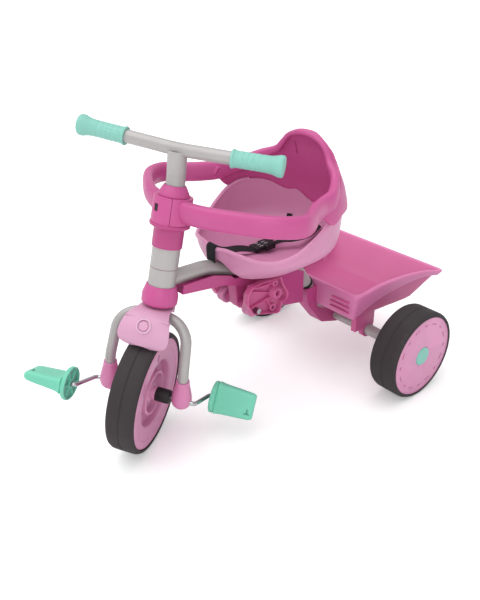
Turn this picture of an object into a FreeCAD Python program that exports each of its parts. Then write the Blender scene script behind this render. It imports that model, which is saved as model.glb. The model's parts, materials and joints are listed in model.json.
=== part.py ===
import FreeCAD, Part
import Sketcher
import math
import os
import re

# A toddler's pedal tricycle. X points forward, Y to the rider's left, Z up, in millimetres. Lengths along X are
# measured from the rear axle in the sheet, and every piece is then moved back by origin_shift, so that the
# model's origin lies on the ground half way along the tricycle. The steering column leans back. Everything that
# steers is shaped straight ahead and then turned to the left by rest_steer about the column.

SIZES = {
    # ground plan
    "origin_shift": 243.5, "rest_steer": 33.5,
    # rear axle and wheels
    "rear_radius": 92, "rear_track_outer": 249, "rear_width": 62, "rear_disc_radius": 83.4,
    "wheel_wall": 4, "hub_radius": 14, "rod_radius": 5, "run_clearance": 0.05, "side_clearance": 0.4,
    "cap_radius": 20, "cap_depth": 7, "disc_recess": 2, "tyre_round": 7, "rib_count": 8, "rib_thick": 3,
    "axle_tube_radius": 12, "axle_tube_wall": 3, "bush_flange": 3,
    # front wheel, cranks and pedals
    "front_axle_x": 497.5, "front_axle_height": 114.1, "front_radius": 112.2, "front_half_width": 26, "front_disc_radius": 103.2,
    "crank_radius": 4, "crank_run": 62, "crank_drop": 24, "crank_reach": 104, "crank_bend": 7,
    "pedal_inner": 111, "pedal_length": 80, "pedal_width": 58, "pedal_thick": 26, "pedal_tip": 17,
    "flange_radius": 30, "flange_thick": 8, "pedal_left_turn": 62, "pedal_right_turn": -22,
    "hub_bush_radius": 13, "crank_start": 95, "pedal_tip_width": 50, "spindle_gap": 5,
    # fork and mudguard
    "leg_radius": 9.5, "leg_wall": 1.8, "leg_spread": 69.3, "leg_forward": 494, "shoulder_spread": 63,
    "shoulder_forward": 471, "crown_height": 256, "shoulder_height": 254, "leg_bend": 40, "crown_bend": 55,
    "knob_radius": 18.5, "knob_neck": 12, "knob_height": 42, "leg_socket": 22,
    "guard_skin": 3, "guard_drop": 2.5, "guard_half": 46, "guard_reach": 69, "guard_lip": 55, "guard_tail": 52,
    "guard_neck_half": 28, "guard_tail_half": 14, "emblem_radius": 13, "emblem_thick": 1.5,
    # steering column, heights along the column from its foot
    "column_foot_x": 448.1, "column_foot_height": 272, "column_lean": 13.17,
    "lower_collar_height": 36, "lower_collar_radius": 31.5, "lower_collar_top": 26,
    "head_radius": 24, "head_bore": 20.5, "head_top": 67.8, "joint_line": 1, "sleeve_top": 103.7,
    "cap_top": 145.8, "cap_ring_radius": 26, "guard_top": 191, "guard_ring_radius": 33, "cone_top": 209,
    "cone_base": 27, "cone_tip": 18.5, "steerer_radius": 12.7, "steerer_bore": 10.7, "steerer_foot": -7,
    "steerer_top": 150, "stem_radius": 16, "stem_foot": 112, "stem_gap": 0.4,
    # handlebar
    "bar_x": 399.5, "bar_height": 536, "bar_radius": 11, "bar_bore": 9.2, "bar_half": 170, "bar_sweep": 6.4,
    "bar_rise": 4.9, "grip_length": 80, "grip_radius": 13.5, "grip_flare": 17.5, "grip_end": 4,
    # frame
    "tube_radius": 14, "tube_wall": 1.8, "cover_half": 25, "cover_wall": 3,
    "bracket_half": 18, "hanger_half": 12, "shaft_x": 268, "shaft_height": 214, "shaft_radius": 5, "shaft_half": 60,
    "foot_hub_radius": 15, "foot_hub_start": 28, "foot_reach": 78, "foot_start": 44, "foot_depth": 14, "foot_wall": 3,
    # seat
    "tub_wall": 4, "tub_floor": 278, "tub_split": 350, "shell_wall": 5, "wing_front": 200,
    "arm_half_height": 19, "arm_half_thick": 10.5, "arm_height": 438, "arm_rear_height": 424,
    "arm_front_x": 380, "arm_front_half": 112, "arm_wide_x": 300, "arm_wide_half": 187, "arm_rear_half": 140,
    "strap_half": 12, "strap_thick": 2, "strap_gap": 1.5, "buckle_x": 190, "buckle_y": -22,
    "button_width": 9, "button_height": 12, "button_travel": 3,
    # bin
    "bin_floor": 137, "bin_wall": 3, "bin_front": 60, "bin_front_half": 117, "bin_rear": -183,
    "bin_rear_half": 164, "bin_rim": 10, "bin_top": 224, "bin_rear_height": 189, "bin_floor_rear": -106.5,
    "bin_floor_front_half": 110, "bin_floor_rear_half": 126, "clip_inner": 95, "clip_width": 12, "clip_radius": 17,
}

doc = FreeCAD.newDocument("tricycle")
sheet = doc.addObject("Spreadsheet::Sheet", "Sizes")
for row, (alias, value) in enumerate(SIZES.items(), 1):
    sheet.set(f"A{row}", alias)
    sheet.set(f"B{row}", str(value))
    sheet.setAlias(f"B{row}", alias)
doc.recompute()

V = FreeCAD.Vector
X_AXIS, Y_AXIS, Z_AXIS = V(1, 0, 0), V(0, 1, 0), V(0, 0, 1)
PARTS = []


def bound(expression):
    """The expression with each alias written as a cell of the sheet."""
    return re.sub(r"[a-z]\w*_\w+", lambda found: "Sizes." + found.group(0), str(expression))


def size(expression):
    """The expression's present value."""
    return float(sheet.evalExpression(bound(expression)))


def turn(axis, angle, centre=V(0, 0, 0)):
    return FreeCAD.Placement(centre, FreeCAD.Rotation(axis, angle), V(0, 0, 0)) * FreeCAD.Placement(
        centre * -1, FreeCAD.Rotation())


def move(x, y, z):
    return FreeCAD.Placement(V(x, y, z), FreeCAD.Rotation())


FOOT = V(size("column_foot_x"), 0, size("column_foot_height"))
LEAN = math.radians(size("column_lean"))
COLUMN_AXIS = V(-math.sin(LEAN), 0, math.cos(LEAN))
FRAME = move(-size("origin_shift"), 0, 0)
STEER = FRAME * turn(COLUMN_AXIS, size("rest_steer"), FOOT)
COLUMN = move(FOOT.x, FOOT.y, FOOT.z) * FreeCAD.Placement(V(0, 0, 0), FreeCAD.Rotation(Y_AXIS, -size("column_lean")))
TO_LEFT = FreeCAD.Placement(V(0, 0, 0), FreeCAD.Rotation(X_AXIS, -90))
TO_RIGHT = FreeCAD.Placement(V(0, 0, 0), FreeCAD.Rotation(X_AXIS, 90))


def finish(piece, label, place):
    """Names a sub-part, puts it in its place and keeps it for export."""
    piece.Label = label
    piece.Placement = place
    PARTS.append(piece)
    return piece


def sketch(body, role, outlines=(), circles=(), start=None):
    """A sketch on the body's own plane, with every corner and circle tied to the sheet. start lifts it off the plane."""
    drawing = body.newObject("Sketcher::SketchObject", body.Name + "_sketch")
    plane = [item for item in body.Origin.OriginFeatures if item.Role == role][0]
    drawing.AttachmentSupport = [(plane, "")]
    drawing.MapMode = "FlatFace"
    if start:
        drawing.setExpression("AttachmentOffset.Base.z", bound(start))

    def tie(kind, index, point, expression):
        rule = drawing.addConstraint(Sketcher.Constraint(kind, -1, 1, index, point, size(expression)))
        drawing.setExpression(f"Constraints[{rule}]", bound(expression))

    for corners in outlines:
        first, count = drawing.GeometryCount, len(corners)
        points = [V(size(x), size(y), 0) for x, y in corners]
        drawing.addGeometry([Part.LineSegment(points[i], points[(i + 1) % count]) for i in range(count)], False)
        for i, (x, y) in enumerate(corners):
            drawing.addConstraint(Sketcher.Constraint("Coincident", first + i, 2, first + (i + 1) % count, 1))
            tie("DistanceX", first + i, 1, x)
            tie("DistanceY", first + i, 1, y)
    for x, y, radius in circles:
        index = drawing.addGeometry(Part.Circle(V(size(x), size(y), 0), Z_AXIS, size(radius)), False)
        tie("DistanceX", index, 3, x)
        tie("DistanceY", index, 3, y)
        rule = drawing.addConstraint(Sketcher.Constraint("Radius", index, size(radius)))
        drawing.setExpression(f"Constraints[{rule}]", bound(radius))
    return drawing


def new_body(label):
    return doc.addObject("PartDesign::Body", label)


def turned(body, outline, angle=360):
    """A ring or shaft turned about the body's own Z axis. The outline holds (radius, height) corners."""
    drawing = sketch(body, "XZ_Plane", [outline])
    feature = body.newObject("PartDesign::Revolution", body.Name + "_turned")
    feature.Profile = drawing
    feature.ReferenceAxis = (drawing, ["V_Axis"])
    feature.Angle = angle
    feature.Midplane = angle < 360
    drawing.Visibility = False
    doc.recompute()
    return feature


def extruded(body, role, length, outlines=(), circles=(), middle=False, kind="Pad", back=False, start=None):
    """A Pad or a Pocket of outlines. middle spreads it to both sides of the plane."""
    drawing = sketch(body, role, outlines, circles, start)
    feature = body.newObject("PartDesign::" + kind, body.Name + "_" + kind.lower())
    feature.Profile = drawing
    feature.setExpression("Length", bound(length))
    feature.Midplane = middle
    feature.Reversed = back
    doc.recompute()
    return feature


def cut(body, role, length, outlines=(), circles=(), middle=True, back=False, start=None):
    """A Pocket that has to take material away."""
    before = body.Shape.Volume
    feature = extruded(body, role, length, outlines, circles, middle, "Pocket", back, start)
    if not body.Shape.Volume < before - 0.01:
        raise ValueError(f"{feature.Name} cuts nothing")
    return feature


def ring(label, outline, place):
    body = new_body(label)
    turned(body, outline)
    return finish(body, label, place)


def rounded_path(points, radii):
    """Straight runs joined by tangent arcs. radii has one radius for each inner point."""
    edges, start = [], points[0]
    for i, radius in enumerate(radii, 1):
        here = points[i]
        incoming = (here - points[i - 1]).normalize()
        outgoing = (points[i + 1] - here).normalize()
        half_turn = incoming.getAngle(outgoing) / 2
        trim = radius * math.tan(half_turn)
        enter, leave = here - incoming * trim, here + outgoing * trim
        inward = (outgoing - incoming).normalize()
        middle = here + inward * (radius / math.cos(half_turn) - radius)
        edges.append(Part.LineSegment(start, enter).toShape())
        edges.append(Part.Arc(enter, middle, leave).toShape())
        start = leave
    edges.append(Part.LineSegment(start, points[-1]).toShape())
    return Part.Wire(edges)


def rod(points, radii, radius):
    """A round bar along a rounded path."""
    path = rounded_path(points, radii)
    section = Part.Wire(Part.Circle(points[0], points[1] - points[0], radius).toShape())
    bar = path.makePipeShell([section], True, False)
    volume = math.pi * radius ** 2 * path.Length
    if abs(bar.Volume - volume) > 0.02 * volume:
        raise ValueError(f"bent bar of {bar.Volume:.0f} instead of {volume:.0f} cubic millimetres")
    return bar


def shaped(label, shape, place):
    """A sub-part whose shape Part's own functions make from the sheet's sizes."""
    piece = doc.addObject("Part::Feature", label)
    piece.Shape = shape
    return finish(piece, label, place * shape.Placement)


def bar_shape(radius, length, base, axis):
    return Part.makeCylinder(radius, length, base, axis)


def oval(centre, across, up, half_across, half_up):
    """A closed oval wire with its half sizes along two directions."""
    if half_across >= half_up:
        curve = Part.Ellipse(centre + across * half_across, centre + up * half_up, centre)
    else:
        curve = Part.Ellipse(centre + up * half_up, centre - across * half_across, centre)
    return Part.Wire(curve.toShape())


def plan_loft(sections, inset=0):
    """A solid through level ovals. Each section holds its height, centre, half length and half width."""
    wires = []
    for height, centre, half_length, half_width in sections:
        wires.append(oval(V(centre, 0, height), X_AXIS, Y_AXIS, half_length - inset, half_width - inset))
    return Part.makeLoft(wires, True, False)


def prism(corners, half_width):
    """A solid whose side view is the polygon, spread to both sides of the middle plane."""
    points = [V(x, -half_width, z) for x, z in corners]
    face = Part.Face(Part.makePolygon(points + points[:1]))
    return face.extrude(V(0, 2 * half_width, 0))



ZERO = "0 * rod_radius"


def repeated(body, feature, count):
    """Copies of a feature all round the body's own Z axis."""
    pattern = body.newObject("PartDesign::PolarPattern", body.Name + "_pattern")
    pattern.Originals = [feature]
    pattern.Axis = (feature.Profile[0], ["N_Axis"])
    pattern.Angle = 360
    pattern.setExpression("Occurrences", bound(count))
    body.Tip = pattern
    doc.recompute()


def ribbon(points, radii, width_way, half_width, thick):
    """Flat webbing along a rounded path. width_way is the direction of its width at the first point."""
    path = rounded_path(points, radii)
    along = (points[1] - points[0]).normalize()
    across = along.cross(width_way).normalize() * (thick / 2)
    side = width_way.normalize() * half_width
    start = points[0]
    corners = [start + side + across, start - side + across, start - side - across, start + side - across]
    section = Part.makePolygon(corners + corners[:1])
    return path.makePipeShell([section], True, False)


# ---------------------------------------------------------------- rear axle and rear wheels
REAR_AXLE = FRAME * move(0, 0, size("rear_radius"))
TUBE_HALF = "(rear_track_outer - rear_width - side_clearance - bush_flange)"
ring("rear_axle_tube", [
    ("axle_tube_radius - axle_tube_wall", f"-{TUBE_HALF}"), ("axle_tube_radius", f"-{TUBE_HALF}"),
    ("axle_tube_radius", TUBE_HALF), ("axle_tube_radius - axle_tube_wall", TUBE_HALF)], REAR_AXLE * TO_LEFT)
ROD_END = "(rear_track_outer - cap_depth - disc_recess - 0.5)"
axle_rod = new_body("rear_axle_rod")
extruded(axle_rod, "XZ_Plane", f"2 * {ROD_END}", circles=[(ZERO, ZERO, "rod_radius")], middle=True)
finish(axle_rod, "rear_axle_rod", REAR_AXLE)

INNER, OUTER = "(rear_track_outer - rear_width)", "rear_track_outer"
FACE = "(rear_track_outer - disc_recess)"
SEAT = f"({FACE} - cap_depth - wheel_wall)"
for side, outward in (("left", TO_LEFT), ("right", TO_RIGHT)):
    ring(f"rear_axle_bush_{side}", [
        ("rod_radius", f"{TUBE_HALF} - 12"), ("axle_tube_radius - axle_tube_wall", f"{TUBE_HALF} - 12"),
        ("axle_tube_radius - axle_tube_wall", TUBE_HALF), ("axle_tube_radius + 2", TUBE_HALF),
        ("axle_tube_radius + 2", f"{TUBE_HALF} + bush_flange"), ("rod_radius", f"{TUBE_HALF} + bush_flange"),
    ], REAR_AXLE * outward)
    ring(f"rear_tyre_{side}", [
        ("rear_disc_radius", INNER), ("rear_radius - tyre_round", INNER),
        ("rear_radius - 2", f"{INNER} + 2"), ("rear_radius", f"{INNER} + tyre_round"),
        ("rear_radius", f"{OUTER} - tyre_round"), ("rear_radius - 2", f"{OUTER} - 2"),
        ("rear_radius - tyre_round", OUTER), ("rear_disc_radius", OUTER)], REAR_AXLE * outward)
    disc = new_body(f"rear_wheel_{side}")
    turned(disc, [
        ("rod_radius + run_clearance", INNER), ("hub_radius", INNER), ("hub_radius", SEAT),
        ("cap_radius + wheel_wall", SEAT), ("cap_radius + wheel_wall", f"{FACE} - wheel_wall"),
        ("rear_disc_radius - wheel_wall", f"{FACE} - wheel_wall"), ("rear_disc_radius - wheel_wall", INNER),
        ("rear_disc_radius", INNER), ("rear_disc_radius", FACE), ("cap_radius", FACE),
        ("cap_radius", f"{FACE} - cap_depth"), ("rod_radius + run_clearance", f"{FACE} - cap_depth")])
    rib = extruded(disc, "XY_Plane", f"{SEAT} - {INNER} - wheel_wall", [[
        ("hub_radius - 1", "-rib_thick / 2"), ("rear_disc_radius - wheel_wall + 1", "-rib_thick / 2"),
        ("rear_disc_radius - wheel_wall + 1", "rib_thick / 2"), ("hub_radius - 1", "rib_thick / 2")]],
        start=f"{INNER} + wheel_wall")
    repeated(disc, rib, "rib_count")
    finish(disc, f"rear_wheel_{side}", REAR_AXLE * outward)
    ring(f"rear_hub_cap_{side}", [
        (ZERO, f"{FACE} - cap_depth"), ("cap_radius", f"{FACE} - cap_depth"), ("cap_radius", FACE),
        ("cap_radius - 3", f"{OUTER} + 1"), (ZERO, f"{OUTER} + 2")], REAR_AXLE * outward)

# ---------------------------------------------------------------- front wheel
AXLE_X, AXLE_Z = size("front_axle_x"), size("front_axle_height")
FRONT_AXLE = STEER * move(AXLE_X, 0, AXLE_Z)
HALF = "front_half_width"
ring("front_tyre", [
    ("front_disc_radius", f"-{HALF}"), ("front_radius - tyre_round", f"-{HALF}"),
    ("front_radius - 2", f"-{HALF} + 2"), ("front_radius", f"-{HALF} + tyre_round"),
    ("front_radius", f"{HALF} - tyre_round"), ("front_radius - 2", f"{HALF} - 2"),
    ("front_radius - tyre_round", HALF), ("front_disc_radius", HALF)], FRONT_AXLE * TO_LEFT)
for side, outward in (("left", TO_LEFT), ("right", TO_RIGHT)):
    # Each half is a moulded shell with rings pressed into its face. The two shells meet in the wheel's middle plane.
    ring(f"front_wheel_{side}", [
        ("crank_radius", ZERO), ("hub_bush_radius - 4", ZERO), ("hub_bush_radius - 4", "9"), ("38", "9"),
        ("42", "18"), ("58", "18"), ("62", "13"), ("86", "13"), ("90", "20"),
        ("front_disc_radius - wheel_wall", "20"), ("front_disc_radius - wheel_wall", ZERO),
        ("front_disc_radius", ZERO), ("front_disc_radius", f"{HALF} - disc_recess"),
        ("88", f"{HALF} - disc_recess"), ("84", "17"), ("64", "17"), ("60", "22"), ("40", "22"), ("36", "13"),
        ("hub_bush_radius", "13"), ("hub_bush_radius", HALF), ("crank_radius", HALF)], FRONT_AXLE * outward)
    ring(f"front_hub_bush_{side}", [
        ("crank_radius", HALF), ("hub_bush_radius", HALF),
        ("hub_bush_radius", "leg_spread - knob_radius - side_clearance"),
        ("crank_radius", "leg_spread - knob_radius - side_clearance")], FRONT_AXLE * outward)

# The crank axle is one bent steel bar through the hub, with a throw for each pedal.
RUN, DROP = size("crank_run"), size("crank_drop")
REACH, START = size("crank_reach"), size("crank_start")
SPINDLE = size("pedal_inner") + size("pedal_length") - size("spindle_gap")
BEND = size("crank_bend")
shaped("crank_axle", rod([
    V(AXLE_X - RUN, SPINDLE, AXLE_Z - DROP), V(AXLE_X - RUN, REACH, AXLE_Z - DROP), V(AXLE_X, START, AXLE_Z),
    V(AXLE_X, -START, AXLE_Z), V(AXLE_X + RUN, -REACH, AXLE_Z + DROP), V(AXLE_X + RUN, -SPINDLE, AXLE_Z + DROP),
], [BEND] * 4, size("crank_radius")), STEER)


def pedal(label, place):
    """A pedal: a round guard plate next to the crank, then a flat grip that narrows outwards."""
    body = new_body(label)
    extruded(body, "XY_Plane", "flange_thick", circles=[(ZERO, ZERO, "flange_radius")], start="pedal_inner")
    wide, thick = "pedal_width / 2", "pedal_thick / 2"
    root = sketch(body, "XY_Plane", [[
        (f"-{wide}", f"-{thick} + 6"), (f"-{wide} + 6", f"-{thick}"), (f"{wide} - 6", f"-{thick}"),
        (wide, f"-{thick} + 6"), (wide, f"{thick} - 6"), (f"{wide} - 6", thick), (f"-{wide} + 6", thick),
        (f"-{wide}", f"{thick} - 6")]], start="pedal_inner + flange_thick / 2")
    wide, thick = "pedal_tip_width / 2", "pedal_tip / 2"
    tip = sketch(body, "XY_Plane", [[
        (f"-{wide}", f"-{thick} + 5"), (f"-{wide} + 6", f"-{thick}"), (f"{wide} - 6", f"-{thick}"),
        (wide, f"-{thick} + 5"), (wide, f"{thick} - 5"), (f"{wide} - 6", thick), (f"-{wide} + 6", thick),
        (f"-{wide}", f"{thick} - 5")]], start="pedal_inner + pedal_length")
    grip = body.newObject("PartDesign::AdditiveLoft", label + "_grip")
    grip.Profile = root
    grip.Sections = [tip]
    grip.Ruled = True
    doc.recompute()
    cut(body, "XY_Plane", "pedal_length - spindle_gap + 1 + 1",
        circles=[(ZERO, ZERO, "crank_radius + run_clearance")], middle=False, back=True, start="pedal_inner - 1")
    finish(body, label, place)


pedal("pedal_left", STEER * move(AXLE_X - RUN, 0, AXLE_Z - DROP) * turn(Y_AXIS, size("pedal_left_turn")) * TO_LEFT)
pedal("pedal_right", STEER * move(AXLE_X + RUN, 0, AXLE_Z + DROP) * turn(Y_AXIS, size("pedal_right_turn")) * TO_RIGHT)

# ---------------------------------------------------------------- fork, steerer and mudguard
LEG_X, LEG_Y, LEG_FOOT = size("leg_forward"), size("leg_spread"), AXLE_Z + size("knob_height") - size("leg_socket")
SHOULDER = (size("shoulder_forward"), size("shoulder_spread"), size("shoulder_height"))
CROWN_Z = size("crown_height")
CROWN_X = FOOT.x + (FOOT.z - CROWN_Z) * math.tan(LEAN)


def fork_shape(radius):
    x, y, z = SHOULDER
    points = [V(LEG_X, -LEG_Y, LEG_FOOT), V(LEG_X, -LEG_Y, AXLE_Z + size("knob_height") + 14), V(x, -y, z),
              V(CROWN_X, 0, CROWN_Z), V(x, y, z), V(LEG_X, LEG_Y, AXLE_Z + size("knob_height") + 14),
              V(LEG_X, LEG_Y, LEG_FOOT)]
    radii = [size("crown_bend"), size("leg_bend"), size("crown_bend"), size("leg_bend"), size("crown_bend")]
    return rod(points, radii, radius)


shaped("fork_tube", fork_shape(size("leg_radius")).cut(fork_shape(size("leg_radius - leg_wall"))), STEER)
for side, way in (("left", 1), ("right", -1)):
    # A rounded shoe on the end of each leg. The crank axle runs through it.
    centre = V(LEG_X, way * LEG_Y, AXLE_Z)
    shoe = Part.makeSphere(size("knob_radius"), centre)
    shoe = shoe.fuse(Part.makeCone(size("knob_radius") - 1.2, size("knob_neck"), size("knob_height - 6"),
                                   centre + Z_AXIS * 6))
    leg = bar_shape(size("leg_radius"), 80, V(centre.x, centre.y, LEG_FOOT), Z_AXIS)
    bore = bar_shape(size("crank_radius + run_clearance"), 80, V(AXLE_X, centre.y - 40, AXLE_Z), Y_AXIS)
    shaped(f"fork_shoe_{side}", shoe.cut(leg).cut(bore).removeSplitter(), STEER)

ring("fork_steerer", [
    ("steerer_bore", "steerer_foot"), ("steerer_radius", "steerer_foot"), ("steerer_radius", "steerer_top"),
    ("steerer_bore", "steerer_top")], STEER * COLUMN)


# The mudguard is a visor: a plate round the steerer that turns down in front of the tyre, with a short tail.
SKIN, DROP_TOP = size("guard_skin"), size("guard_drop")
REACH_X, LIP, TAIL, WIDE = size("guard_reach"), size("guard_lip"), size("guard_tail"), size("guard_half")
NECK, TAIL_HALF = size("guard_neck_half"), size("guard_tail_half")


def visor_band(offset):
    """The side view of the visor's skin, offset towards the tyre, as one run of curves from tail to lip."""
    top = -DROP_TOP - offset
    front = REACH_X - offset
    return [Part.LineSegment(V(-TAIL, 0, top - 26), V(-TAIL + 24, 0, top)).toShape(),
            Part.LineSegment(V(-TAIL + 24, 0, top), V(22, 0, top)).toShape(),
            Part.Arc(V(22, 0, top), V(front - 13, 0, top - 15), V(front, 0, -LIP)).toShape()]


outer_run, inner_run = visor_band(0), visor_band(SKIN)
tail_end = Part.LineSegment(outer_run[0].Vertexes[0].Point, inner_run[0].Vertexes[0].Point).toShape()
lip_end = Part.LineSegment(outer_run[-1].Vertexes[-1].Point, inner_run[-1].Vertexes[-1].Point).toShape()
band = Part.Wire(Part.__sortEdges__(outer_run + [lip_end] + inner_run + [tail_end]))
visor = Part.Face(band).extrude(V(0, 2 * WIDE, 0))
visor.translate(V(0, -WIDE, 0))
outline = Part.Wire([
    Part.LineSegment(V(-TAIL, TAIL_HALF, 0), V(-TAIL, -TAIL_HALF, 0)).toShape(),
    Part.LineSegment(V(-TAIL, -TAIL_HALF, 0), V(-8, -NECK, 0)).toShape(),
    Part.LineSegment(V(-8, -NECK, 0), V(26, -NECK, 0)).toShape(),
    Part.LineSegment(V(26, -NECK, 0), V(REACH_X - 12, -WIDE, 0)).toShape(),
    Part.Arc(V(REACH_X - 12, -WIDE, 0), V(REACH_X, 0, 0), V(REACH_X - 12, WIDE, 0)).toShape(),
    Part.LineSegment(V(REACH_X - 12, WIDE, 0), V(26, NECK, 0)).toShape(),
    Part.LineSegment(V(26, NECK, 0), V(-8, NECK, 0)).toShape(),
    Part.LineSegment(V(-8, NECK, 0), V(-TAIL, TAIL_HALF, 0)).toShape()])
plan = Part.Face(outline)
plan.translate(V(0, 0, -LIP - 1))
visor = visor.common(plan.extrude(V(0, 0, LIP + 1)))
visor = visor.cut(bar_shape(size("steerer_radius"), 40, V(0, 0, -30), Z_AXIS))
visor = visor.transformed(COLUMN.toMatrix()).cut(fork_shape(size("leg_radius") + 0.3))
visor = max(visor.Solids, key=lambda solid: solid.Volume)
shaped("mudguard", visor, STEER)

# A plain round badge lies on the visor's slope.
badge = new_body("mudguard_badge")
extruded(badge, "XY_Plane", "emblem_thick", circles=[(ZERO, ZERO, "emblem_radius")])
BADGE_PLACE = move(size("guard_reach - 6.2"), 0, size("-guard_drop - 22.5")) * turn(Y_AXIS, 64)
finish(badge, "mudguard_badge", STEER * COLUMN * BADGE_PLACE)

# ---------------------------------------------------------------- stem, handlebar and grips
BAR = V(size("bar_x"), 0, size("bar_height"))
STEM_FOOT = FOOT + COLUMN_AXIS * size("stem_foot")
STEM_KNEE = FOOT + COLUMN_AXIS * (size("cone_top") + 12)


def stem_shape(radius):
    return rod([STEM_FOOT, STEM_KNEE, BAR], [90], radius)


def bar_form(radius):
    half, sweep, rise = size("bar_half"), size("bar_sweep"), size("bar_rise")
    return rod([BAR + V(-sweep, -half, rise), BAR, BAR + V(-sweep, half, rise)], [400], radius)


bar = bar_form(size("bar_radius"))
shaped("stem_tube", max(stem_shape(size("stem_radius")).cut(stem_shape(size("steerer_radius"))).cut(bar).Solids,
                        key=lambda solid: solid.Volume), STEER)
shaped("handlebar_tube", bar.cut(bar_form(size("bar_bore"))), STEER)
for side, way in (("left", 1), ("right", -1)):
    end = V(-size("bar_sweep"), way * size("bar_half"), size("bar_rise"))
    place = FreeCAD.Placement(BAR, FreeCAD.Rotation(Z_AXIS, end))
    reach = "sqrt(bar_half ^ 2 + bar_sweep ^ 2 + bar_rise ^ 2)"
    ring(f"grip_{side}", [
        ("bar_radius", f"{reach} - grip_length"), ("grip_radius + 2", f"{reach} - grip_length"),
        ("grip_radius + 2", f"{reach} - grip_length + 3"), ("grip_radius", f"{reach} - grip_length + 4"),
        ("grip_radius", f"{reach} - 30"), ("grip_radius + 1.5", f"{reach} - 12"),
        ("grip_flare", f"{reach} - 5"), ("grip_flare", f"{reach} + grip_end - 2"),
        ("grip_flare - 2", f"{reach} + grip_end"), (ZERO, f"{reach} + grip_end"), (ZERO, reach),
        ("bar_radius", reach)], STEER * place)

# ---------------------------------------------------------------- steering column, fixed to the frame
RIGID_COLUMN = FRAME * COLUMN
ring("lower_collar", [
    ("head_radius", "lower_collar_height"), ("lower_collar_top", "lower_collar_height"),
    ("lower_collar_radius", "lower_collar_height / 2"), ("lower_collar_radius", "4"),
    ("lower_collar_radius - 4", ZERO), ("steerer_radius + 0.7", ZERO), ("steerer_radius + 0.7", "4"),
    ("head_radius", "4")], RIGID_COLUMN)
ring("head_tube", [
    ("head_bore", "4"), ("head_radius", "4"), ("head_radius", "head_top - joint_line"),
    ("head_bore", "head_top - joint_line")], RIGID_COLUMN)
ring("column_joint_ring", [
    ("head_bore", "head_top - joint_line"), ("head_radius - 0.6", "head_top - joint_line"),
    ("head_radius - 0.6", "head_top"), ("head_bore", "head_top")], RIGID_COLUMN)
ring("column_sleeve", [
    ("head_bore", "head_top"), ("head_radius", "head_top"), ("head_radius", "sleeve_top + 5"),
    ("head_bore", "sleeve_top + 5")], RIGID_COLUMN)
for label, foot in (("head_bush_lower", "6"), ("head_bush_upper", "sleeve_top - 18")):
    ring(label, [
        ("steerer_radius + run_clearance", foot), ("head_bore", foot), ("head_bore", f"{foot} + 16"),
        ("steerer_radius + run_clearance", f"{foot} + 16")], RIGID_COLUMN)
ring("column_cap", [
    ("head_radius", "sleeve_top"), ("cap_ring_radius", "sleeve_top"), ("cap_ring_radius", "cap_top - 10"),
    ("guard_ring_radius + 1.5", "cap_top - 5"), ("guard_ring_radius + 1.5", "cap_top"), ("22", "cap_top"),
    ("22", "guard_top - 1"), ("stem_radius + stem_gap", "guard_top - 1"),
    ("stem_radius + stem_gap", "sleeve_top + 6"), ("head_radius", "sleeve_top + 6")], RIGID_COLUMN)
SHELL = [("22", "cap_top"), ("guard_ring_radius", "cap_top"), ("guard_ring_radius", "guard_top"),
         ("22", "guard_top")]
front_shell = new_body("guard_collar_front")
turned(front_shell, SHELL, 100)
cut(front_shell, "YZ_Plane", "guard_ring_radius + 5", [[
    ("-button_width / 2 - 0.3", "cap_top + 20"), ("button_width / 2 + 0.3", "cap_top + 20"),
    ("button_width / 2 + 0.3", "cap_top + 20.6 + button_height"),
    ("-button_width / 2 - 0.3", "cap_top + 20.6 + button_height")]], middle=False, back=True)
finish(front_shell, "guard_collar_front", RIGID_COLUMN)
rear_shell = new_body("guard_collar_rear")
turned(rear_shell, SHELL, 258)
finish(rear_shell, "guard_collar_rear", RIGID_COLUMN * turn(Z_AXIS, 180))
ring("guard_collar_cone", [
    ("stem_radius + stem_gap", "guard_top"), ("cone_base", "guard_top"), ("cone_base", "guard_top + 2"),
    ("cone_tip", "cone_top"), ("stem_radius + stem_gap", "cone_top")], RIGID_COLUMN)
button = new_body("collar_button")
extruded(button, "YZ_Plane", "6", [[
    ("-button_width / 2", "cap_top + 20.3"), ("button_width / 2", "cap_top + 20.3"),
    ("button_width / 2", "cap_top + 20.3 + button_height"), ("-button_width / 2", "cap_top + 20.3 + button_height")]],
    start="guard_ring_radius - 7")
finish(button, "collar_button", RIGID_COLUMN)

# ---------------------------------------------------------------- frame tube, under-cover and brackets
TUBE_RUN = [V(436, 0, 312), V(345, 0, 308), V(300, 0, 292), V(132, 0, 246), V(108, 0, 222), V(80, 0, 182)]
TUBE_BENDS = [90, 90, 40, 50]
tube = rod(TUBE_RUN, TUBE_BENDS, size("tube_radius"))
tube_bore = rod(TUBE_RUN, TUBE_BENDS, size("tube_radius - tube_wall"))
head_solid = bar_shape(size("head_radius"), 90, V(0, 0, 0), Z_AXIS).transformed(COLUMN.toMatrix())
collar_solid = bar_shape(size("lower_collar_radius"), size("lower_collar_height"), V(0, 0, 0), Z_AXIS)
collar_solid = collar_solid.transformed(COLUMN.toMatrix())


def largest(shape):
    return max(shape.Solids, key=lambda solid: solid.Volume)


shaped("main_tube", largest(tube.cut(tube_bore).cut(head_solid).cut(collar_solid)), FRAME)
STAY_WAY = (TUBE_RUN[-1] - TUBE_RUN[-2]).normalize()
stay_ring = FreeCAD.Placement(TUBE_RUN[-1] - STAY_WAY * 13, FreeCAD.Rotation(Z_AXIS, STAY_WAY))
ring("stay_ring", [("tube_radius", ZERO), ("tube_radius + 2", ZERO), ("tube_radius + 2", "6"),
                   ("tube_radius", "6")], FRAME * stay_ring)

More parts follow.
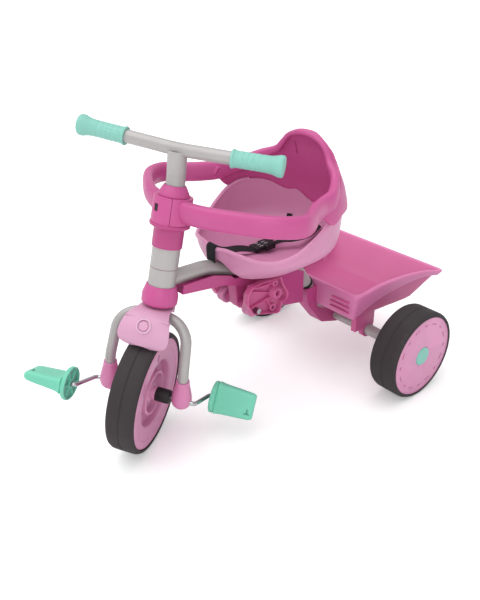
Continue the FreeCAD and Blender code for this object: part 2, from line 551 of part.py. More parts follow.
TUB = [(size("tub_floor"), 205, 95, 75), (300, 203, 116, 105), (322, 197, 129, 133),
       (size("tub_split") + 8, 193, 134, 137)]
WALL = size("tub_wall")
COVER_BOTTOM = [(414, 286), (373, 280), (323, 273), (244, 247), (200, 202), (166, 176), (116, 166)]
COVER_TOP = [(116, 236), (132, 243), (300, 286), (345, 300), (411, 302)]
HALF_COVER, COVER_WALL = size("cover_half"), size("cover_wall")
raised = [(x, z + COVER_WALL) for x, z in COVER_BOTTOM[:-1]] + [(110, 166 + COVER_WALL)]
inside = [(430, 286 + COVER_WALL)] + raised + [(110, 400), (430, 400)]
cover = prism(COVER_BOTTOM + COVER_TOP, HALF_COVER).cut(prism(inside, HALF_COVER - COVER_WALL))
grown_collar = bar_shape(size("lower_collar_radius"), 80, V(0, 0, -10), Z_AXIS).transformed(COLUMN.toMatrix())
tub_room = plan_loft(TUB, -size("strap_gap") / 5)
shaped("under_cover", largest(cover.cut(grown_collar).cut(tube).cut(tub_room)), FRAME)

AXLE_SOLID = bar_shape(size("axle_tube_radius"), 200, V(0, -100, size("rear_radius")), Y_AXIS)
saddle = prism([(66, 184), (99, 184), (92, 146), (48, 90), (0, 74), (-16, 80), (-16, 108), (20, 110), (63, 133)],
               size("bracket_half"))
ring_room = bar_shape(size("tube_radius + 2.3"), 6.6, V(0, 0, -0.3), Z_AXIS).transformed(stay_ring.toMatrix())
shaped("axle_bracket", largest(saddle.cut(AXLE_SOLID).cut(tube).cut(ring_room).removeSplitter()), FRAME)
SHAFT_X, SHAFT_Z = size("shaft_x"), size("shaft_height")
hanger = prism([(284, 260.1), (280, 212), (SHAFT_X + 6, 203), (SHAFT_X - 6, 203), (256, 212), (254, 250.2)],
               size("hanger_half"))
shaft_hole = bar_shape(size("shaft_radius"), 200, V(SHAFT_X, -100, SHAFT_Z), Y_AXIS)
shaped("footrest_hanger", hanger.cut(shaft_hole), FRAME)

# ---------------------------------------------------------------- footrests on their cross shaft
SHAFT_PLACE = FRAME * move(SHAFT_X, 0, SHAFT_Z)
shaft = new_body("footrest_shaft")
extruded(shaft, "XZ_Plane", "2 * shaft_half", circles=[(ZERO, ZERO, "shaft_radius")], middle=True)
finish(shaft, "footrest_shaft", SHAFT_PLACE)


# The dish's outline, as shares of its reach: how far ahead of the shaft and how far above it each corner lies.
FOOT_OUTLINE = [(0.17, -0.05), (0.34, 0.26), (0.32, 0.52), (0.17, 0.68), (-0.13, 0.71), (-0.74, 0.68), (-0.83, 0.42),
                (-1.0, 0.15), (-0.97, 0.01), (-0.78, -0.03), (-0.75, -0.24), (-0.66, -0.31), (-0.19, -0.16)]
FOOT_MIDDLE = (-0.33, 0.22)
HOLLOW_SHARE = 0.91


def foot_corners(way, share):
    """The dish's outline in the shaft's frame, at a share of its full size about its own middle."""
    (middle_x, middle_z), corners = FOOT_MIDDLE, []
    for x, z in FOOT_OUTLINE:
        ahead, above = middle_x + (x - middle_x) * share, middle_z + (z - middle_z) * share
        corners.append((f"foot_reach * {ahead:.4f}", f"foot_reach * {-way * above:.4f}"))
    return corners


def footrest(label, place, way):
    """A hub on the cross shaft that carries a D-shaped dish, hollow on its outer side."""
    body = new_body(label)
    extruded(body, "XY_Plane", "foot_depth", [foot_corners(way, 1)], start="foot_start")
    cut(body, "XY_Plane", "foot_depth", [foot_corners(way, HOLLOW_SHARE)], middle=False, back=True,
        start="foot_start + foot_wall")
    extruded(body, "XY_Plane", "shaft_half - foot_hub_start - 2", circles=[(ZERO, ZERO, "foot_hub_radius")],
             start="foot_hub_start")
    cut(body, "XY_Plane", "shaft_half + 1", circles=[(ZERO, ZERO, "shaft_radius + run_clearance")],
        middle=False, back=True, start=ZERO)
    finish(body, label, place)


footrest("footrest_left", SHAFT_PLACE * TO_LEFT, 1)
footrest("footrest_right", SHAFT_PLACE * TO_RIGHT, -1)

# ---------------------------------------------------------------- seat tub, backrest shell and guard arms
tunnel_top = [(x, z + 15.5) for x, z in ((380, 309), (345, 309), (300, 294), (132, 248), (90, 205))]
tunnel = prism(tunnel_top + [(90, 150), (380, 150)], size("tube_radius + 3"))
tunnel_skin = prism([(x, z + WALL) for x, z in tunnel_top] + [(90, 150), (380, 150)], size("tube_radius + 3") + WALL)
inner_tub = plan_loft([(size("tub_floor") + WALL, 205, 91, 71)] + [(z + 1, x, a - WALL, b - WALL)
                      for z, x, a, b in TUB[1:]])
rim = prism([(40, size("tub_split")), (200, size("tub_split")), (235, 322), (262, 320), (308, 344), (332, 352),
             (360, 352), (360, 420), (40, 420)], 200)
tub = plan_loft(TUB).cut(tunnel).cut(inner_tub.cut(tunnel_skin)).cut(rim)
shaped("seat_tub", largest(tub), FRAME)

SHELL_PLAN = [(size("tub_split"), 193, 134, 137), (394, 190, 132, 138), (430, 183, 115, 130), (455, 168, 91, 112),
              (480, 158, 75, 93), (514, 148, 50, 45)]
outer_shell, inner_shell = plan_loft(SHELL_PLAN), plan_loft(SHELL_PLAN, size("shell_wall"))
BACK_OUTLINE = [(0, 511), (22, 508), (36, 500), (52, 487), (66, 470), (90, 459), (111, 448), (160, 443)]
outline_points = [V(0, -y, z) for y, z in reversed(BACK_OUTLINE)] + [V(0, y, z) for y, z in BACK_OUTLINE[1:]]
outline_points += [V(0, 160, size("tub_split")), V(0, -160, size("tub_split"))]
back_cutter = Part.Face(Part.makePolygon(outline_points + outline_points[:1])).extrude(V(size("wing_front"), 0, 0))
shaped("backrest_shell", largest(outer_shell.cut(inner_shell).common(back_cutter)), FRAME)


def guard_arm(way):
    """One arm of the guard ring, from the collar round the rider's side to the wing of the backrest."""
    height, rear_height = size("arm_height"), size("arm_rear_height")
    front_x, front_half = size("arm_front_x"), size("arm_front_half")
    wide_x, wide_half, wing = size("arm_wide_x"), size("arm_wide_half"), size("wing_front")
    points = [V(410, 18, height), V(402, 66, height + 1), V(front_x, front_half, height),
              V(front_x - 38, front_half + 52, height - 3), V(wide_x, wide_half, height - 8),
              V(wide_x - 34, wide_half - 9, rear_height), V(wide_x - 66, wide_half - 31, rear_height),
              V(wing, size("arm_rear_half"), rear_height - 1)]
    curve = Part.BSplineCurve()
    curve.interpolate([V(p.x, way * p.y, p.z) for p in points])
    first, last = curve.FirstParameter, curve.LastParameter
    wires = []
    for i in range(13):
        at = first + (last - first) * i / 12
        along = curve.tangent(at)[0]
        across = Z_AXIS.cross(along).normalize()
        if i == 12:
            across = Y_AXIS * way
        wires.append(oval(curve.value(at), across, Z_AXIS, size("arm_half_thick"), size("arm_half_height")))
    return Part.makeLoft(wires, True, False)


collar_core = bar_shape(size("guard_ring_radius"), 90, V(0, 0, 130), Z_AXIS).transformed(COLUMN.toMatrix())
for side, way in (("left", 1), ("right", -1)):
    arm = guard_arm(way).cut(collar_core)
    arm = arm.cut(back_cutter)
    shaped(f"guard_arm_{side}", largest(arm), FRAME)

# ---------------------------------------------------------------- harness
STRAP, STRAP_HALF = size("strap_thick"), size("strap_half")
BUCKLE = V(size("buckle_x"), size("buckle_y"), size("tub_floor + tub_wall") + 14)
lip_out, lip_in = 328 + size("strap_gap") + 1, 324 - size("strap_gap") - 2
strap = ribbon([V(lip_out, 0, 322), V(lip_out, 0, 356.5), V(lip_in, 0, 356), V(lip_in - 10, 0, 326),
                V(BUCKLE.x + 62, BUCKLE.y * 0.5, BUCKLE.z + 9), V(BUCKLE.x + 28, BUCKLE.y, BUCKLE.z + 1)],
               [3.2, 3.2, 12, 20], Y_AXIS, STRAP_HALF, STRAP)
shaped("crotch_strap", strap, FRAME)
for side, way in (("left", 1), ("right", -1)):
    strap = ribbon([V(BUCKLE.x - 29, BUCKLE.y + 7 * way, BUCKLE.z), V(BUCKLE.x - 48, BUCKLE.y + 16 * way, BUCKLE.z + 3),
                    V(104, 34 * way - 10, BUCKLE.z + 12), V(84, 42 * way - 10, BUCKLE.z + 32)],
                   [14, 16], V(0.3 * way, 1, 0) * way, 5, STRAP)
    shaped(f"lap_strap_{side}", strap, FRAME)
socket = Part.makeBox(26, 30, 13, V(BUCKLE.x - 26, BUCKLE.y - 15, BUCKLE.z - 6.5))
shaped("buckle_socket", socket.makeFillet(3, socket.Edges), FRAME)
plug = Part.makeBox(21, 26, 11, V(BUCKLE.x + 1, BUCKLE.y - 13, BUCKLE.z - 5.5))
shaped("buckle_plug", plug.makeFillet(2.5, plug.Edges), FRAME)

# ---------------------------------------------------------------- tipping bin
FLOOR, BIN_WALL = size("bin_floor"), size("bin_wall")
FRONT, FRONT_HALF, REAR, REAR_HALF = size("bin_front"), size("bin_front_half"), size("bin_rear"), size("bin_rear_half")


BIN_TOP, FLOOR_REAR = size("bin_top"), size("bin_floor_rear")
REAR_SLOPE = size("(bin_floor_rear - bin_rear - bin_rim) / (bin_rear_height - bin_floor)")
TOP_REAR = FLOOR_REAR - REAR_SLOPE * (BIN_TOP - FLOOR)


def bin_block(grow, floor):
    """The bin's outer form, a tray that widens upwards and towards the rear."""
    low = oblong(FRONT + grow, size("bin_floor_front_half") + grow, FLOOR_REAR - grow,
                 size("bin_floor_rear_half") + grow, floor)
    top = oblong(FRONT + grow, FRONT_HALF + 3 + grow, TOP_REAR - grow, REAR_HALF + grow, BIN_TOP)
    return Part.makeLoft([low, top], True, True)


def oblong(front, front_half, rear, rear_half, height):
    """A level four-cornered outline, each end with its own half width."""
    points = [V(front, -front_half, height), V(front, front_half, height), V(rear, rear_half, height),
              V(rear, -rear_half, height)]
    return Part.makePolygon(points + points[:1])


RIM_LINE = [(FRONT + 30, 193), (FRONT, 196), (0, 209), (-60, 211), (-125, 205), (REAR, size("bin_rear_height")),
            (REAR - 40, size("bin_rear_height") - 11)]
above_rim = prism(RIM_LINE + [(REAR - 40, 320), (FRONT + 30, 320)], 260)
rim_band = prism([(x, z) for x, z in RIM_LINE] + [(x, z - 4) for x, z in reversed(RIM_LINE)], 260)
hollow = bin_block(-BIN_WALL, FLOOR + BIN_WALL)
tray = bin_block(0, FLOOR).fuse(bin_block(size("bin_rim"), FLOOR).common(rim_band))
front_limit = Part.makeBox(400, 600, 400, V(FRONT, -300, 0))
rear_limit = Part.makeBox(400, 600, 400, V(REAR - 400, -300, 0))
tray = tray.cut(hollow).cut(above_rim).cut(front_limit).cut(rear_limit)
shaped("bin", largest(tray.removeSplitter()), FRAME)
for side, way in (("left", 1), ("right", -1)):
    # A closed clip round the axle tube with a web that carries the bin's floor.
    middle = way * (size("clip_inner") + size("clip_width") / 2)
    start = V(0, middle - size("clip_width") / 2, size("rear_radius"))
    clip = bar_shape(size("clip_radius"), size("clip_width"), start, Y_AXIS)
    clip = clip.fuse(Part.makeBox(42 + size("clip_radius"), size("clip_width"), FLOOR - size("rear_radius") - 8,
                                  V(-size("clip_radius"), start.y, size("rear_radius") + 8)))
    clip = clip.cut(bar_shape(size("axle_tube_radius + run_clearance"), 40, start - Y_AXIS * 10, Y_AXIS))
    shaped(f"bin_clip_{side}", clip.removeSplitter(), FRAME)

# ---------------------------------------------------------------- check and export
doc.recompute()
for item in doc.Objects:
    if {"Invalid", "Error"} & set(item.State):
        raise ValueError(f"{item.Name} failed to recompute: {item.State}")
os.makedirs("parts", exist_ok=True)
for piece in PARTS:
    if piece.Shape.isNull() or not piece.Shape.isValid():
        raise ValueError(f"{piece.Label} has no valid shape")
    if len(piece.Shape.Solids) != 1:
        raise ValueError(f"{piece.Label} has {len(piece.Shape.Solids)} solids")
    piece.Shape.exportStep(f"parts/{piece.Label}.step")
box = Part.makeCompound([piece.Shape for piece in PARTS]).BoundBox
print(f"{len(PARTS)} parts, {box.XLength:.0f} x {box.YLength:.0f} x {box.ZLength:.0f} mm")
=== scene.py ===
import math
import bpy
import bmesh
from mathutils import Matrix, Vector
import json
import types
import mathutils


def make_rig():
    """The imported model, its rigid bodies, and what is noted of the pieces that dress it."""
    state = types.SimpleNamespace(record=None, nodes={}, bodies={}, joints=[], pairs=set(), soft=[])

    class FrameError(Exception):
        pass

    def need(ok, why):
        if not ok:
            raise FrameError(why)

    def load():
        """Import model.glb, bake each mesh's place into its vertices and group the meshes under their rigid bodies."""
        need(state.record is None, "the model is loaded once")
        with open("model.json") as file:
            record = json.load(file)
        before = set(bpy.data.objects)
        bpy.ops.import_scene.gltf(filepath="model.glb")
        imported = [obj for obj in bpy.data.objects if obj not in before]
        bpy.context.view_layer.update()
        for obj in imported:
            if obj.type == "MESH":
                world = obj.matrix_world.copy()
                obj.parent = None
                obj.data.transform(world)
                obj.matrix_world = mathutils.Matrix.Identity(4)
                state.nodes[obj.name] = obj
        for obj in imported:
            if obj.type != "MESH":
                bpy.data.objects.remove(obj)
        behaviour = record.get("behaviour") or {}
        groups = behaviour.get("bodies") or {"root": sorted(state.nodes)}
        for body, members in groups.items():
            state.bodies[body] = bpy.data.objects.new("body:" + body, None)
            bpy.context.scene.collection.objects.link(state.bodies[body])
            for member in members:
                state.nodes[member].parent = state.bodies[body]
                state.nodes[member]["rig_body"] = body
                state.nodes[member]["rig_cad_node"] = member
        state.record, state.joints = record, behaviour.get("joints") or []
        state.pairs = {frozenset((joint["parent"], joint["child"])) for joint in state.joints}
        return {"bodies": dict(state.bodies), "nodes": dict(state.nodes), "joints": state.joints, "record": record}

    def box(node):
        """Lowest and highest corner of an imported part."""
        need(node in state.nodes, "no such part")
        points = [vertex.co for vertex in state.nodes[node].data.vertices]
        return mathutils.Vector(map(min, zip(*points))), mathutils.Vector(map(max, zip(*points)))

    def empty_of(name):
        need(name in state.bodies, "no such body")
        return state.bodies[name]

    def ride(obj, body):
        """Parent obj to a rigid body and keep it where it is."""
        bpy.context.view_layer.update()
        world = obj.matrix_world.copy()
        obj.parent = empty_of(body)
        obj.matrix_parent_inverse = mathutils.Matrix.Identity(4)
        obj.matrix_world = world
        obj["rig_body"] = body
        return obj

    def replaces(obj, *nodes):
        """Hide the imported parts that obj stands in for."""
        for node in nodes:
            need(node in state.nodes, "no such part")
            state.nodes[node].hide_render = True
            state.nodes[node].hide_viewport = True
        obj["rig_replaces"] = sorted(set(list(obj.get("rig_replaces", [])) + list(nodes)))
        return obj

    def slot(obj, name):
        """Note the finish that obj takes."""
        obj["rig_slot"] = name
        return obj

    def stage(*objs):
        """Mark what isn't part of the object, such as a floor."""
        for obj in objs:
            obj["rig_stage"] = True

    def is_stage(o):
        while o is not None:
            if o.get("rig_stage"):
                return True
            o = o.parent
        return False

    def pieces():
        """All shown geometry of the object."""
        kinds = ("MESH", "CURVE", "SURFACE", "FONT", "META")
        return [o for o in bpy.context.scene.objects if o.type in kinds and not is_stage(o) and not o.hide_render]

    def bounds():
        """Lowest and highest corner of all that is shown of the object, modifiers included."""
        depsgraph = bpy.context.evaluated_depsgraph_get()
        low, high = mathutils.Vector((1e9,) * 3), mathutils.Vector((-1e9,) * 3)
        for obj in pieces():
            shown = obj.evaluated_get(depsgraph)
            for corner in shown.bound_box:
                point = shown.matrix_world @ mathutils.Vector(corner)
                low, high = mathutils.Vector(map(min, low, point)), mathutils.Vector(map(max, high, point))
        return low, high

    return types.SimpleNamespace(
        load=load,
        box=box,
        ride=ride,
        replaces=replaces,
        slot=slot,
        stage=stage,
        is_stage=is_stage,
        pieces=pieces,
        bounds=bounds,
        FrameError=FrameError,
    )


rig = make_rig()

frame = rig.load()
cad_box = [list(corner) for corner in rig.bounds()]

# ------------------------------------------------------------ the studio
# The tricycle stands on a pale floor in soft light from a large overhead panel and a weaker one beside the
# camera. Places are given in millimetres from the rear axle's line on the ground, as on the tricycle's
# drawing.
MM = 0.001
axle_low, axle_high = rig.box("rear_axle_tube")
rear_axle = (axle_low + axle_high) / 2
steering = next(joint for joint in frame["joints"] if joint["name"] == "steering")
column_foot, column_way = Vector(steering["pos_m"]), Vector(steering["axis"])
turned_left, column_lean = math.radians(33.5), math.radians(13.17)

straight = Matrix.Translation((rear_axle.x, 0, 0))
swing = Matrix.Translation(column_foot) @ Matrix.Rotation(turned_left, 4, column_way)
steered = swing @ Matrix.Translation(-column_foot) @ straight
on_steered_column = swing @ Matrix.Rotation(-column_lean, 4, "Y")
to_left = Matrix.Rotation(-math.pi / 2, 4, "X")
to_right = Matrix.Rotation(math.pi / 2, 4, "X")
SIDES = (("left", to_left, 1), ("right", to_right, -1))

CAMERA_PLACE, CAMERA_LENS = (1033.1, 908.5, 854.5), 42.16
CAMERA_HEADING, CAMERA_TILT, CAMERA_ROLL = 139.74, 61.66, -0.48
FLOOR_WHITE, FLOOR_GLOW = (0.93, 0.93, 0.93, 1), 0.24
FILL_LIGHT, BACKDROP_LIGHT = 0.68, 1.0
OVERHEAD_LIGHT, OVERHEAD_SPREAD = 1.75, math.radians(75)
SIDE_LIGHT, SIDE_LIGHT_PLACE, SIDE_LIGHT_TARGET = 13, (1.9, 2.2, 1.5), (0, 0, 0.3)


def at(x, y, z):
    return Matrix.Translation((x * MM, y * MM, z * MM))


def select_only(piece):
    bpy.ops.object.select_all(action="DESELECT")
    piece.select_set(True)
    bpy.context.view_layer.objects.active = piece


def srgb(red, green, blue):
    """A colour as a colour chart gives it, from 0 to 255, as the linear values a shader takes."""
    return tuple(((part / 255 + 0.055) / 1.055) ** 2.4 for part in (red, green, blue)) + (1,)


def shader(name, **settings):
    material = bpy.data.materials.new(name)
    material.use_nodes = True
    surface = material.node_tree.nodes["Principled BSDF"]
    for socket, value in settings.items():
        surface.inputs[socket.replace("_", " ")].default_value = value
    return material, material.node_tree.nodes, material.node_tree.links, surface


bpy.ops.object.select_all(action="DESELECT")
bpy.ops.object.camera_add(location=(straight @ at(*CAMERA_PLACE)).translation)
camera = bpy.context.object
camera.rotation_euler = (Matrix.Rotation(math.radians(CAMERA_HEADING), 3, "Z")
                         @ Matrix.Rotation(math.radians(CAMERA_TILT), 3, "X")
                         @ Matrix.Rotation(math.radians(CAMERA_ROLL), 3, "Z")).to_euler()
camera.data.lens = CAMERA_LENS
bpy.context.scene.camera = camera

bpy.ops.mesh.primitive_plane_add(size=40)
floor = bpy.context.object
floor.name = "studio_floor"
white_floor, nodes, links, surface = shader("white_floor", Base_Color=FLOOR_WHITE, Roughness=0.9,
                                            Specular_IOR_Level=0.1, Emission_Color=(1, 1, 1, 1))
glow = nodes.new("ShaderNodeMath")
glow.operation = "MULTIPLY"
glow.inputs[1].default_value = FLOOR_GLOW
links.new(nodes.new("ShaderNodeLightPath").outputs["Is Camera Ray"], glow.inputs[0])
links.new(glow.outputs[0], surface.inputs["Emission Strength"])
floor.data.materials.append(white_floor)
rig.stage(floor)

world = bpy.data.worlds.new("studio")
world.use_nodes = True
nodes, links = world.node_tree.nodes, world.node_tree.links
fill, seen = nodes["Background"], nodes.new("ShaderNodeBackground")
for light, strength in ((fill, FILL_LIGHT), (seen, BACKDROP_LIGHT)):
    light.inputs["Color"].default_value = (1, 1, 1, 1)
    light.inputs["Strength"].default_value = strength
backdrop = nodes.new("ShaderNodeMixShader")
links.new(nodes.new("ShaderNodeLightPath").outputs["Is Camera Ray"], backdrop.inputs["Fac"])
links.new(fill.outputs["Background"], backdrop.inputs[1])
links.new(seen.outputs["Background"], backdrop.inputs[2])
links.new(backdrop.outputs["Shader"], nodes["World Output"].inputs["Surface"])
bpy.context.scene.world = world
bpy.context.scene.view_settings.view_transform = "Standard"

bpy.ops.object.light_add(type="SUN", rotation=(math.radians(12), math.radians(14), 0))
overhead = bpy.context.object
overhead.name = "overhead_panel"
overhead.data.energy = OVERHEAD_LIGHT
overhead.data.angle = OVERHEAD_SPREAD
bpy.ops.object.light_add(type="AREA", location=SIDE_LIGHT_PLACE)
side_panel = bpy.context.object
side_panel.name = "side_panel"
side_panel.data.shape = "DISK"
side_panel.data.size = 1.6
side_panel.data.energy = SIDE_LIGHT
side_look = Vector(SIDE_LIGHT_TARGET) - side_panel.location
side_panel.rotation_euler = side_look.to_track_quat("-Z", "Y").to_euler()

# ------------------------------------------------------------ rear axle and frame tubes
# The axle tube, the bent main tube and the column are steel tube with a light grey powder coat. The shapes
# come from the frame, and the coat has the faint orange-peel surface and fine sparkle of baked powder.
SMOOTH_ANGLE = math.radians(38)


def added(nodes, kind, **inputs):
    """A new shader node with values on its sockets."""
    node = nodes.new("ShaderNode" + kind)
    for socket, value in inputs.items():
        node.inputs[socket.replace("_", " ")].default_value = value
    return node


def rough_skin(nodes, links, surface, grain, depth, roughness, spread):
    """Fine surface grain, and a finish that is a little duller in some places than in others."""
    place = added(nodes, "TexCoord")
    fine = added(nodes, "TexNoise", Scale=grain, Detail=3)
    bump = added(nodes, "Bump", Strength=depth, Distance=0.0004)
    wide = added(nodes, "TexNoise", Scale=22, Detail=4)
    dullness = added(nodes, "MapRange", From_Min=0.3, From_Max=0.7,
                     To_Min=roughness - spread, To_Max=roughness + spread)
    links.new(place.outputs["Object"], fine.inputs["Vector"])
    links.new(place.outputs["Object"], wide.inputs["Vector"])
    links.new(fine.outputs["Fac"], bump.inputs["Height"])
    links.new(bump.outputs["Normal"], surface.inputs["Normal"])
    links.new(wide.outputs["Fac"], dullness.inputs["Value"])
    links.new(dullness.outputs["Result"], surface.inputs["Roughness"])
    return wide


# How pointed the surface is in a corner, where painted shade darkens it, and on an edge, where a painted highlight
# makes it paler.
CORNER, PAINTED_HIGHLIGHT_EDGE = 0.44, 0.57


def drift_and_painted_light(nodes, links, surface, pattern, colour, lighter, darker):
    """The colour drifts a little over the piece; painted shade makes its corners darker and a painted highlight makes
    its sharp edges paler.
    """
    drift = added(nodes, "Mix")
    drift.data_type = "RGBA"
    drift.inputs["A"].default_value = colour
    drift.inputs["B"].default_value = tuple(part * 0.93 for part in colour[:3]) + (1,)
    # Painted shade in the corners and a painted highlight on sharp edges, read from how pointed the surface is.
    shape = added(nodes, "NewGeometry")
    edges = added(nodes, "ValToRGB")
    for stop, position, tone in zip(edges.color_ramp.elements, (CORNER, PAINTED_HIGHLIGHT_EDGE), (darker, lighter)):
        stop.position = position
        stop.color = (tone, tone, tone, 1)
    painted_light_mix = added(nodes, "Mix")
    painted_light_mix.data_type = "RGBA"
    painted_light_mix.blend_type = "MULTIPLY"
    painted_light_mix.inputs["Factor"].default_value = 1
    links.new(pattern.outputs["Fac"], drift.inputs["Factor"])
    links.new(shape.outputs["Pointiness"], edges.inputs["Fac"])
    links.new(drift.outputs["Result"], painted_light_mix.inputs["A"])
    links.new(edges.outputs["Color"], painted_light_mix.inputs["B"])
    links.new(painted_light_mix.outputs["Result"], surface.inputs["Base Color"])


def coated_steel(name, colour):
    material, nodes, links, surface = shader(name, Metallic=0.25)
    pattern = rough_skin(nodes, links, surface, 1400, 0.12, 0.42, 0.05)
    # Painted shade in its corners and a painted highlight on its edges.
    drift_and_painted_light(nodes, links, surface, pattern, colour, 1.06, 0.9)
    return material


def dress(piece, name, body, slot, material, *nodes):
    """Names a finished piece, gives it its material, and lets it stand for its frame nodes on its body."""
    piece.name = name
    piece.data.name = name
    piece.data.materials.clear()
    piece.data.materials.append(material)
    select_only(piece)
    bpy.ops.object.shade_smooth_by_angle(angle=SMOOTH_ANGLE)
    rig.slot(piece, slot)
    if nodes:
        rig.replaces(piece, *nodes)
    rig.ride(piece, body)
    return piece


def coat(material, *nodes):
    for node in nodes:
        frame["nodes"][node].data.materials.clear()
        frame["nodes"][node].data.materials.append(material)


grey_coat = coated_steel("light_grey_powder_coat", srgb(176, 173, 172))
coat(grey_coat, "rear_axle_tube", "main_tube", "head_tube", "column_sleeve", "fork_tube", "stem_tube",
     "handlebar_tube")

bright_zinc, nodes, links, surface = shader("bright_zinc_steel", Metallic=1.0, Base_Color=srgb(186, 186, 188))
rough_skin(nodes, links, surface, 600, 0.08, 0.2, 0.06)
coat(bright_zinc, "crank_axle", "rear_axle_rod", "footrest_shaft", "fork_steerer")

# ------------------------------------------------------------ moulded plastic fittings
# Brackets, collars, clips and the channel under the main tube are injection-moulded. Each is the frame's
# own shape with its sharp edges rounded, because a mould never leaves a sharp edge.


def moulded(name, colour, roughness=0.4, shine=0.45):
    material, nodes, links, surface = shader(name, IOR=1.49, Specular_IOR_Level=shine)
    pattern = rough_skin(nodes, links, surface, 1100, 0.07, roughness, 0.05)
    # Painted shade in its corners and a painted highlight on its edges.
    drift_and_painted_light(nodes, links, surface, pattern, colour, 1.07, 0.86)
    return material


def modify(piece, kind, **settings):
    select_only(piece)
    change = piece.modifiers.new(kind.lower(), kind)
    for setting, value in settings.items():
        setattr(change, setting, value)
    bpy.ops.object.modifier_apply(modifier=change.name)


def block(place, length, width, height):
    """A plain block about the place's origin."""
    bpy.ops.object.select_all(action="DESELECT")
    bpy.ops.mesh.primitive_cube_add(size=1)
    piece = bpy.context.object
    piece.data.transform(place @ Matrix.Diagonal((length * MM, width * MM, height * MM, 1)))
    return piece


def carve(piece, cutter):
    """Takes the cutter's shape out of the piece."""
    modify(piece, "BOOLEAN", operation="DIFFERENCE", object=cutter, solver="EXACT")
    bpy.data.objects.remove(cutter)


def joined(pieces):
    """The pieces as one object, which keeps the place of the first."""
    bpy.ops.object.select_all(action="DESELECT")
    for piece in pieces:
        piece.select_set(True)
    bpy.context.view_layer.objects.active = pieces[0]
    bpy.ops.object.join()
    return pieces[0]


def round_edges(piece, width, segments, angle):
    """Rounds each edge that is sharper than the angle."""
    modify(piece, "BEVEL", width=width * MM, segments=segments, limit_method="ANGLE",
           angle_limit=math.radians(angle))


def rounded_copy(node, body, slot, material, edge):
    """The frame's shape with its sharp edges rounded off."""
    piece = frame["nodes"][node].copy()
    piece.data = piece.data.copy()
    piece.parent = None
    del piece["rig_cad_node"], piece["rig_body"]
    bpy.context.scene.collection.objects.link(piece)
    select_only(piece)
    bpy.ops.object.mode_set(mode="EDIT")
    bpy.ops.mesh.select_all(action="SELECT")
    bpy.ops.mesh.remove_doubles(threshold=0.00001)
    bpy.ops.mesh.dissolve_limited(angle_limit=math.radians(1))
    bpy.ops.object.mode_set(mode="OBJECT")
    round_edges(piece, edge, 3, 32)
    return dress(piece, node + "_moulding", body, slot, material, node)


magenta = moulded("magenta_plastic", srgb(199, 84, 146))
# A darker copy of the magenta plastic, as painted shade, for the parts that sit underneath the tube, seat and collar.
shaded_magenta = moulded("painted_shade_magenta_plastic", srgb(184, 70, 130))
light_pink = moulded("light_pink_plastic", srgb(216, 146, 184))
rose = moulded("rose_plastic", srgb(203, 93, 148))
mint = moulded("mint_plastic", srgb(138, 202, 188), 0.48, 0.35)
black_plastic = moulded("black_plastic", srgb(30, 28, 30), 0.5, 0.35)
red_seal = moulded("red_seal", srgb(140, 84, 88), 0.6, 0.3)

# The parts underneath take the darker copy of the magenta plastic, as painted shade.
for node in ("under_cover", "axle_bracket", "footrest_hanger", "column_cap"):
    rounded_copy(node, "frame", "magenta_plastic", shaded_magenta, 1.2)
for node in ("lower_collar", "guard_collar_front", "guard_collar_rear", "guard_collar_cone"):
    rounded_copy(node, "frame", "magenta_plastic", magenta, 1.0)
rounded_copy("collar_button", "collar_button", "mint_plastic", black_plastic, 0.6)
for side in ("left", "right"):
    rounded_copy(f"bin_clip_{side}", "bin", "bin_pink_plastic", rose, 1.0)
    rounded_copy(f"rear_axle_bush_{side}", "frame", "black_plastic", black_plastic, 0.5)
rounded_copy("stay_ring", "frame", "black_plastic", black_plastic, 0.6)
coat(black_plastic, "head_bush_lower", "head_bush_upper")
coat(red_seal, "column_joint_ring")

# ------------------------------------------------------------ tyres
# Foamed plastic tyres with square shoulders, a fine groove round the middle of the tread and a thin
# moulding line by each shoulder. They are turned from one profile and pressed over the wheel discs.


def turned(name, profile, place, edge=0.0, steps=128):
    """A closed profile of (radius, height) corners, spun round its own Z axis."""
    bpy.ops.object.select_all(action="DESELECT")
    bpy.ops.mesh.primitive_plane_add(size=MM)
    piece = bpy.context.object
    bpy.ops.object.mode_set(mode="EDIT")
    bpy.ops.mesh.merge(type="CENTER")
    bpy.ops.transform.translate(value=(profile[0][0] * MM, 0, profile[0][1] * MM))
    corners = profile + profile[:1]
    for (radius, height), (next_radius, next_height) in zip(corners, corners[1:]):
        step = ((next_radius - radius) * MM, 0, (next_height - height) * MM)
        bpy.ops.mesh.extrude_region_move(TRANSFORM_OT_translate={"value": step})
    bpy.ops.mesh.select_all(action="SELECT")
    bpy.ops.mesh.spin(steps=steps, angle=math.tau, center=(0, 0, 0), axis=(0, 0, 1))
    bpy.ops.mesh.select_all(action="SELECT")
    bpy.ops.mesh.remove_doubles(threshold=0.000005)
    bpy.ops.mesh.normals_make_consistent(inside=False)
    bpy.ops.object.mode_set(mode="OBJECT")
    if edge:
        round_edges(piece, edge, 3, 20)
    piece.data.transform(place)
    piece.name = name
    return piece


def tyre_profile(seat, radius, inner, outer):
    """The section of a tyre, from its seat on the disc out to the tread and back."""
    middle = (inner + outer) / 2
    return [(seat, inner + 0.6), (radius - 7, inner), (radius - 2.6, inner + 1.6), (radius - 0.4, inner + 6),
            (radius, inner + 9), (radius, middle - 1.8), (radius - 1.1, middle - 0.8),
            (radius - 1.1, middle + 0.8), (radius, middle + 1.8), (radius, outer - 9),
            (radius - 0.4, outer - 6), (radius - 2.6, outer - 1.6), (radius - 7, outer), (seat, outer - 0.6)]


tyre_black, nodes, links, surface = shader("charcoal_foam_tyre", IOR=1.45, Specular_IOR_Level=0.25)
pattern = rough_skin(nodes, links, surface, 700, 0.3, 0.66, 0.08)
# Painted shade in the tyre's corners and a painted highlight on its edges.
drift_and_painted_light(nodes, links, surface, pattern, srgb(58, 53, 55), 1.15, 0.8)

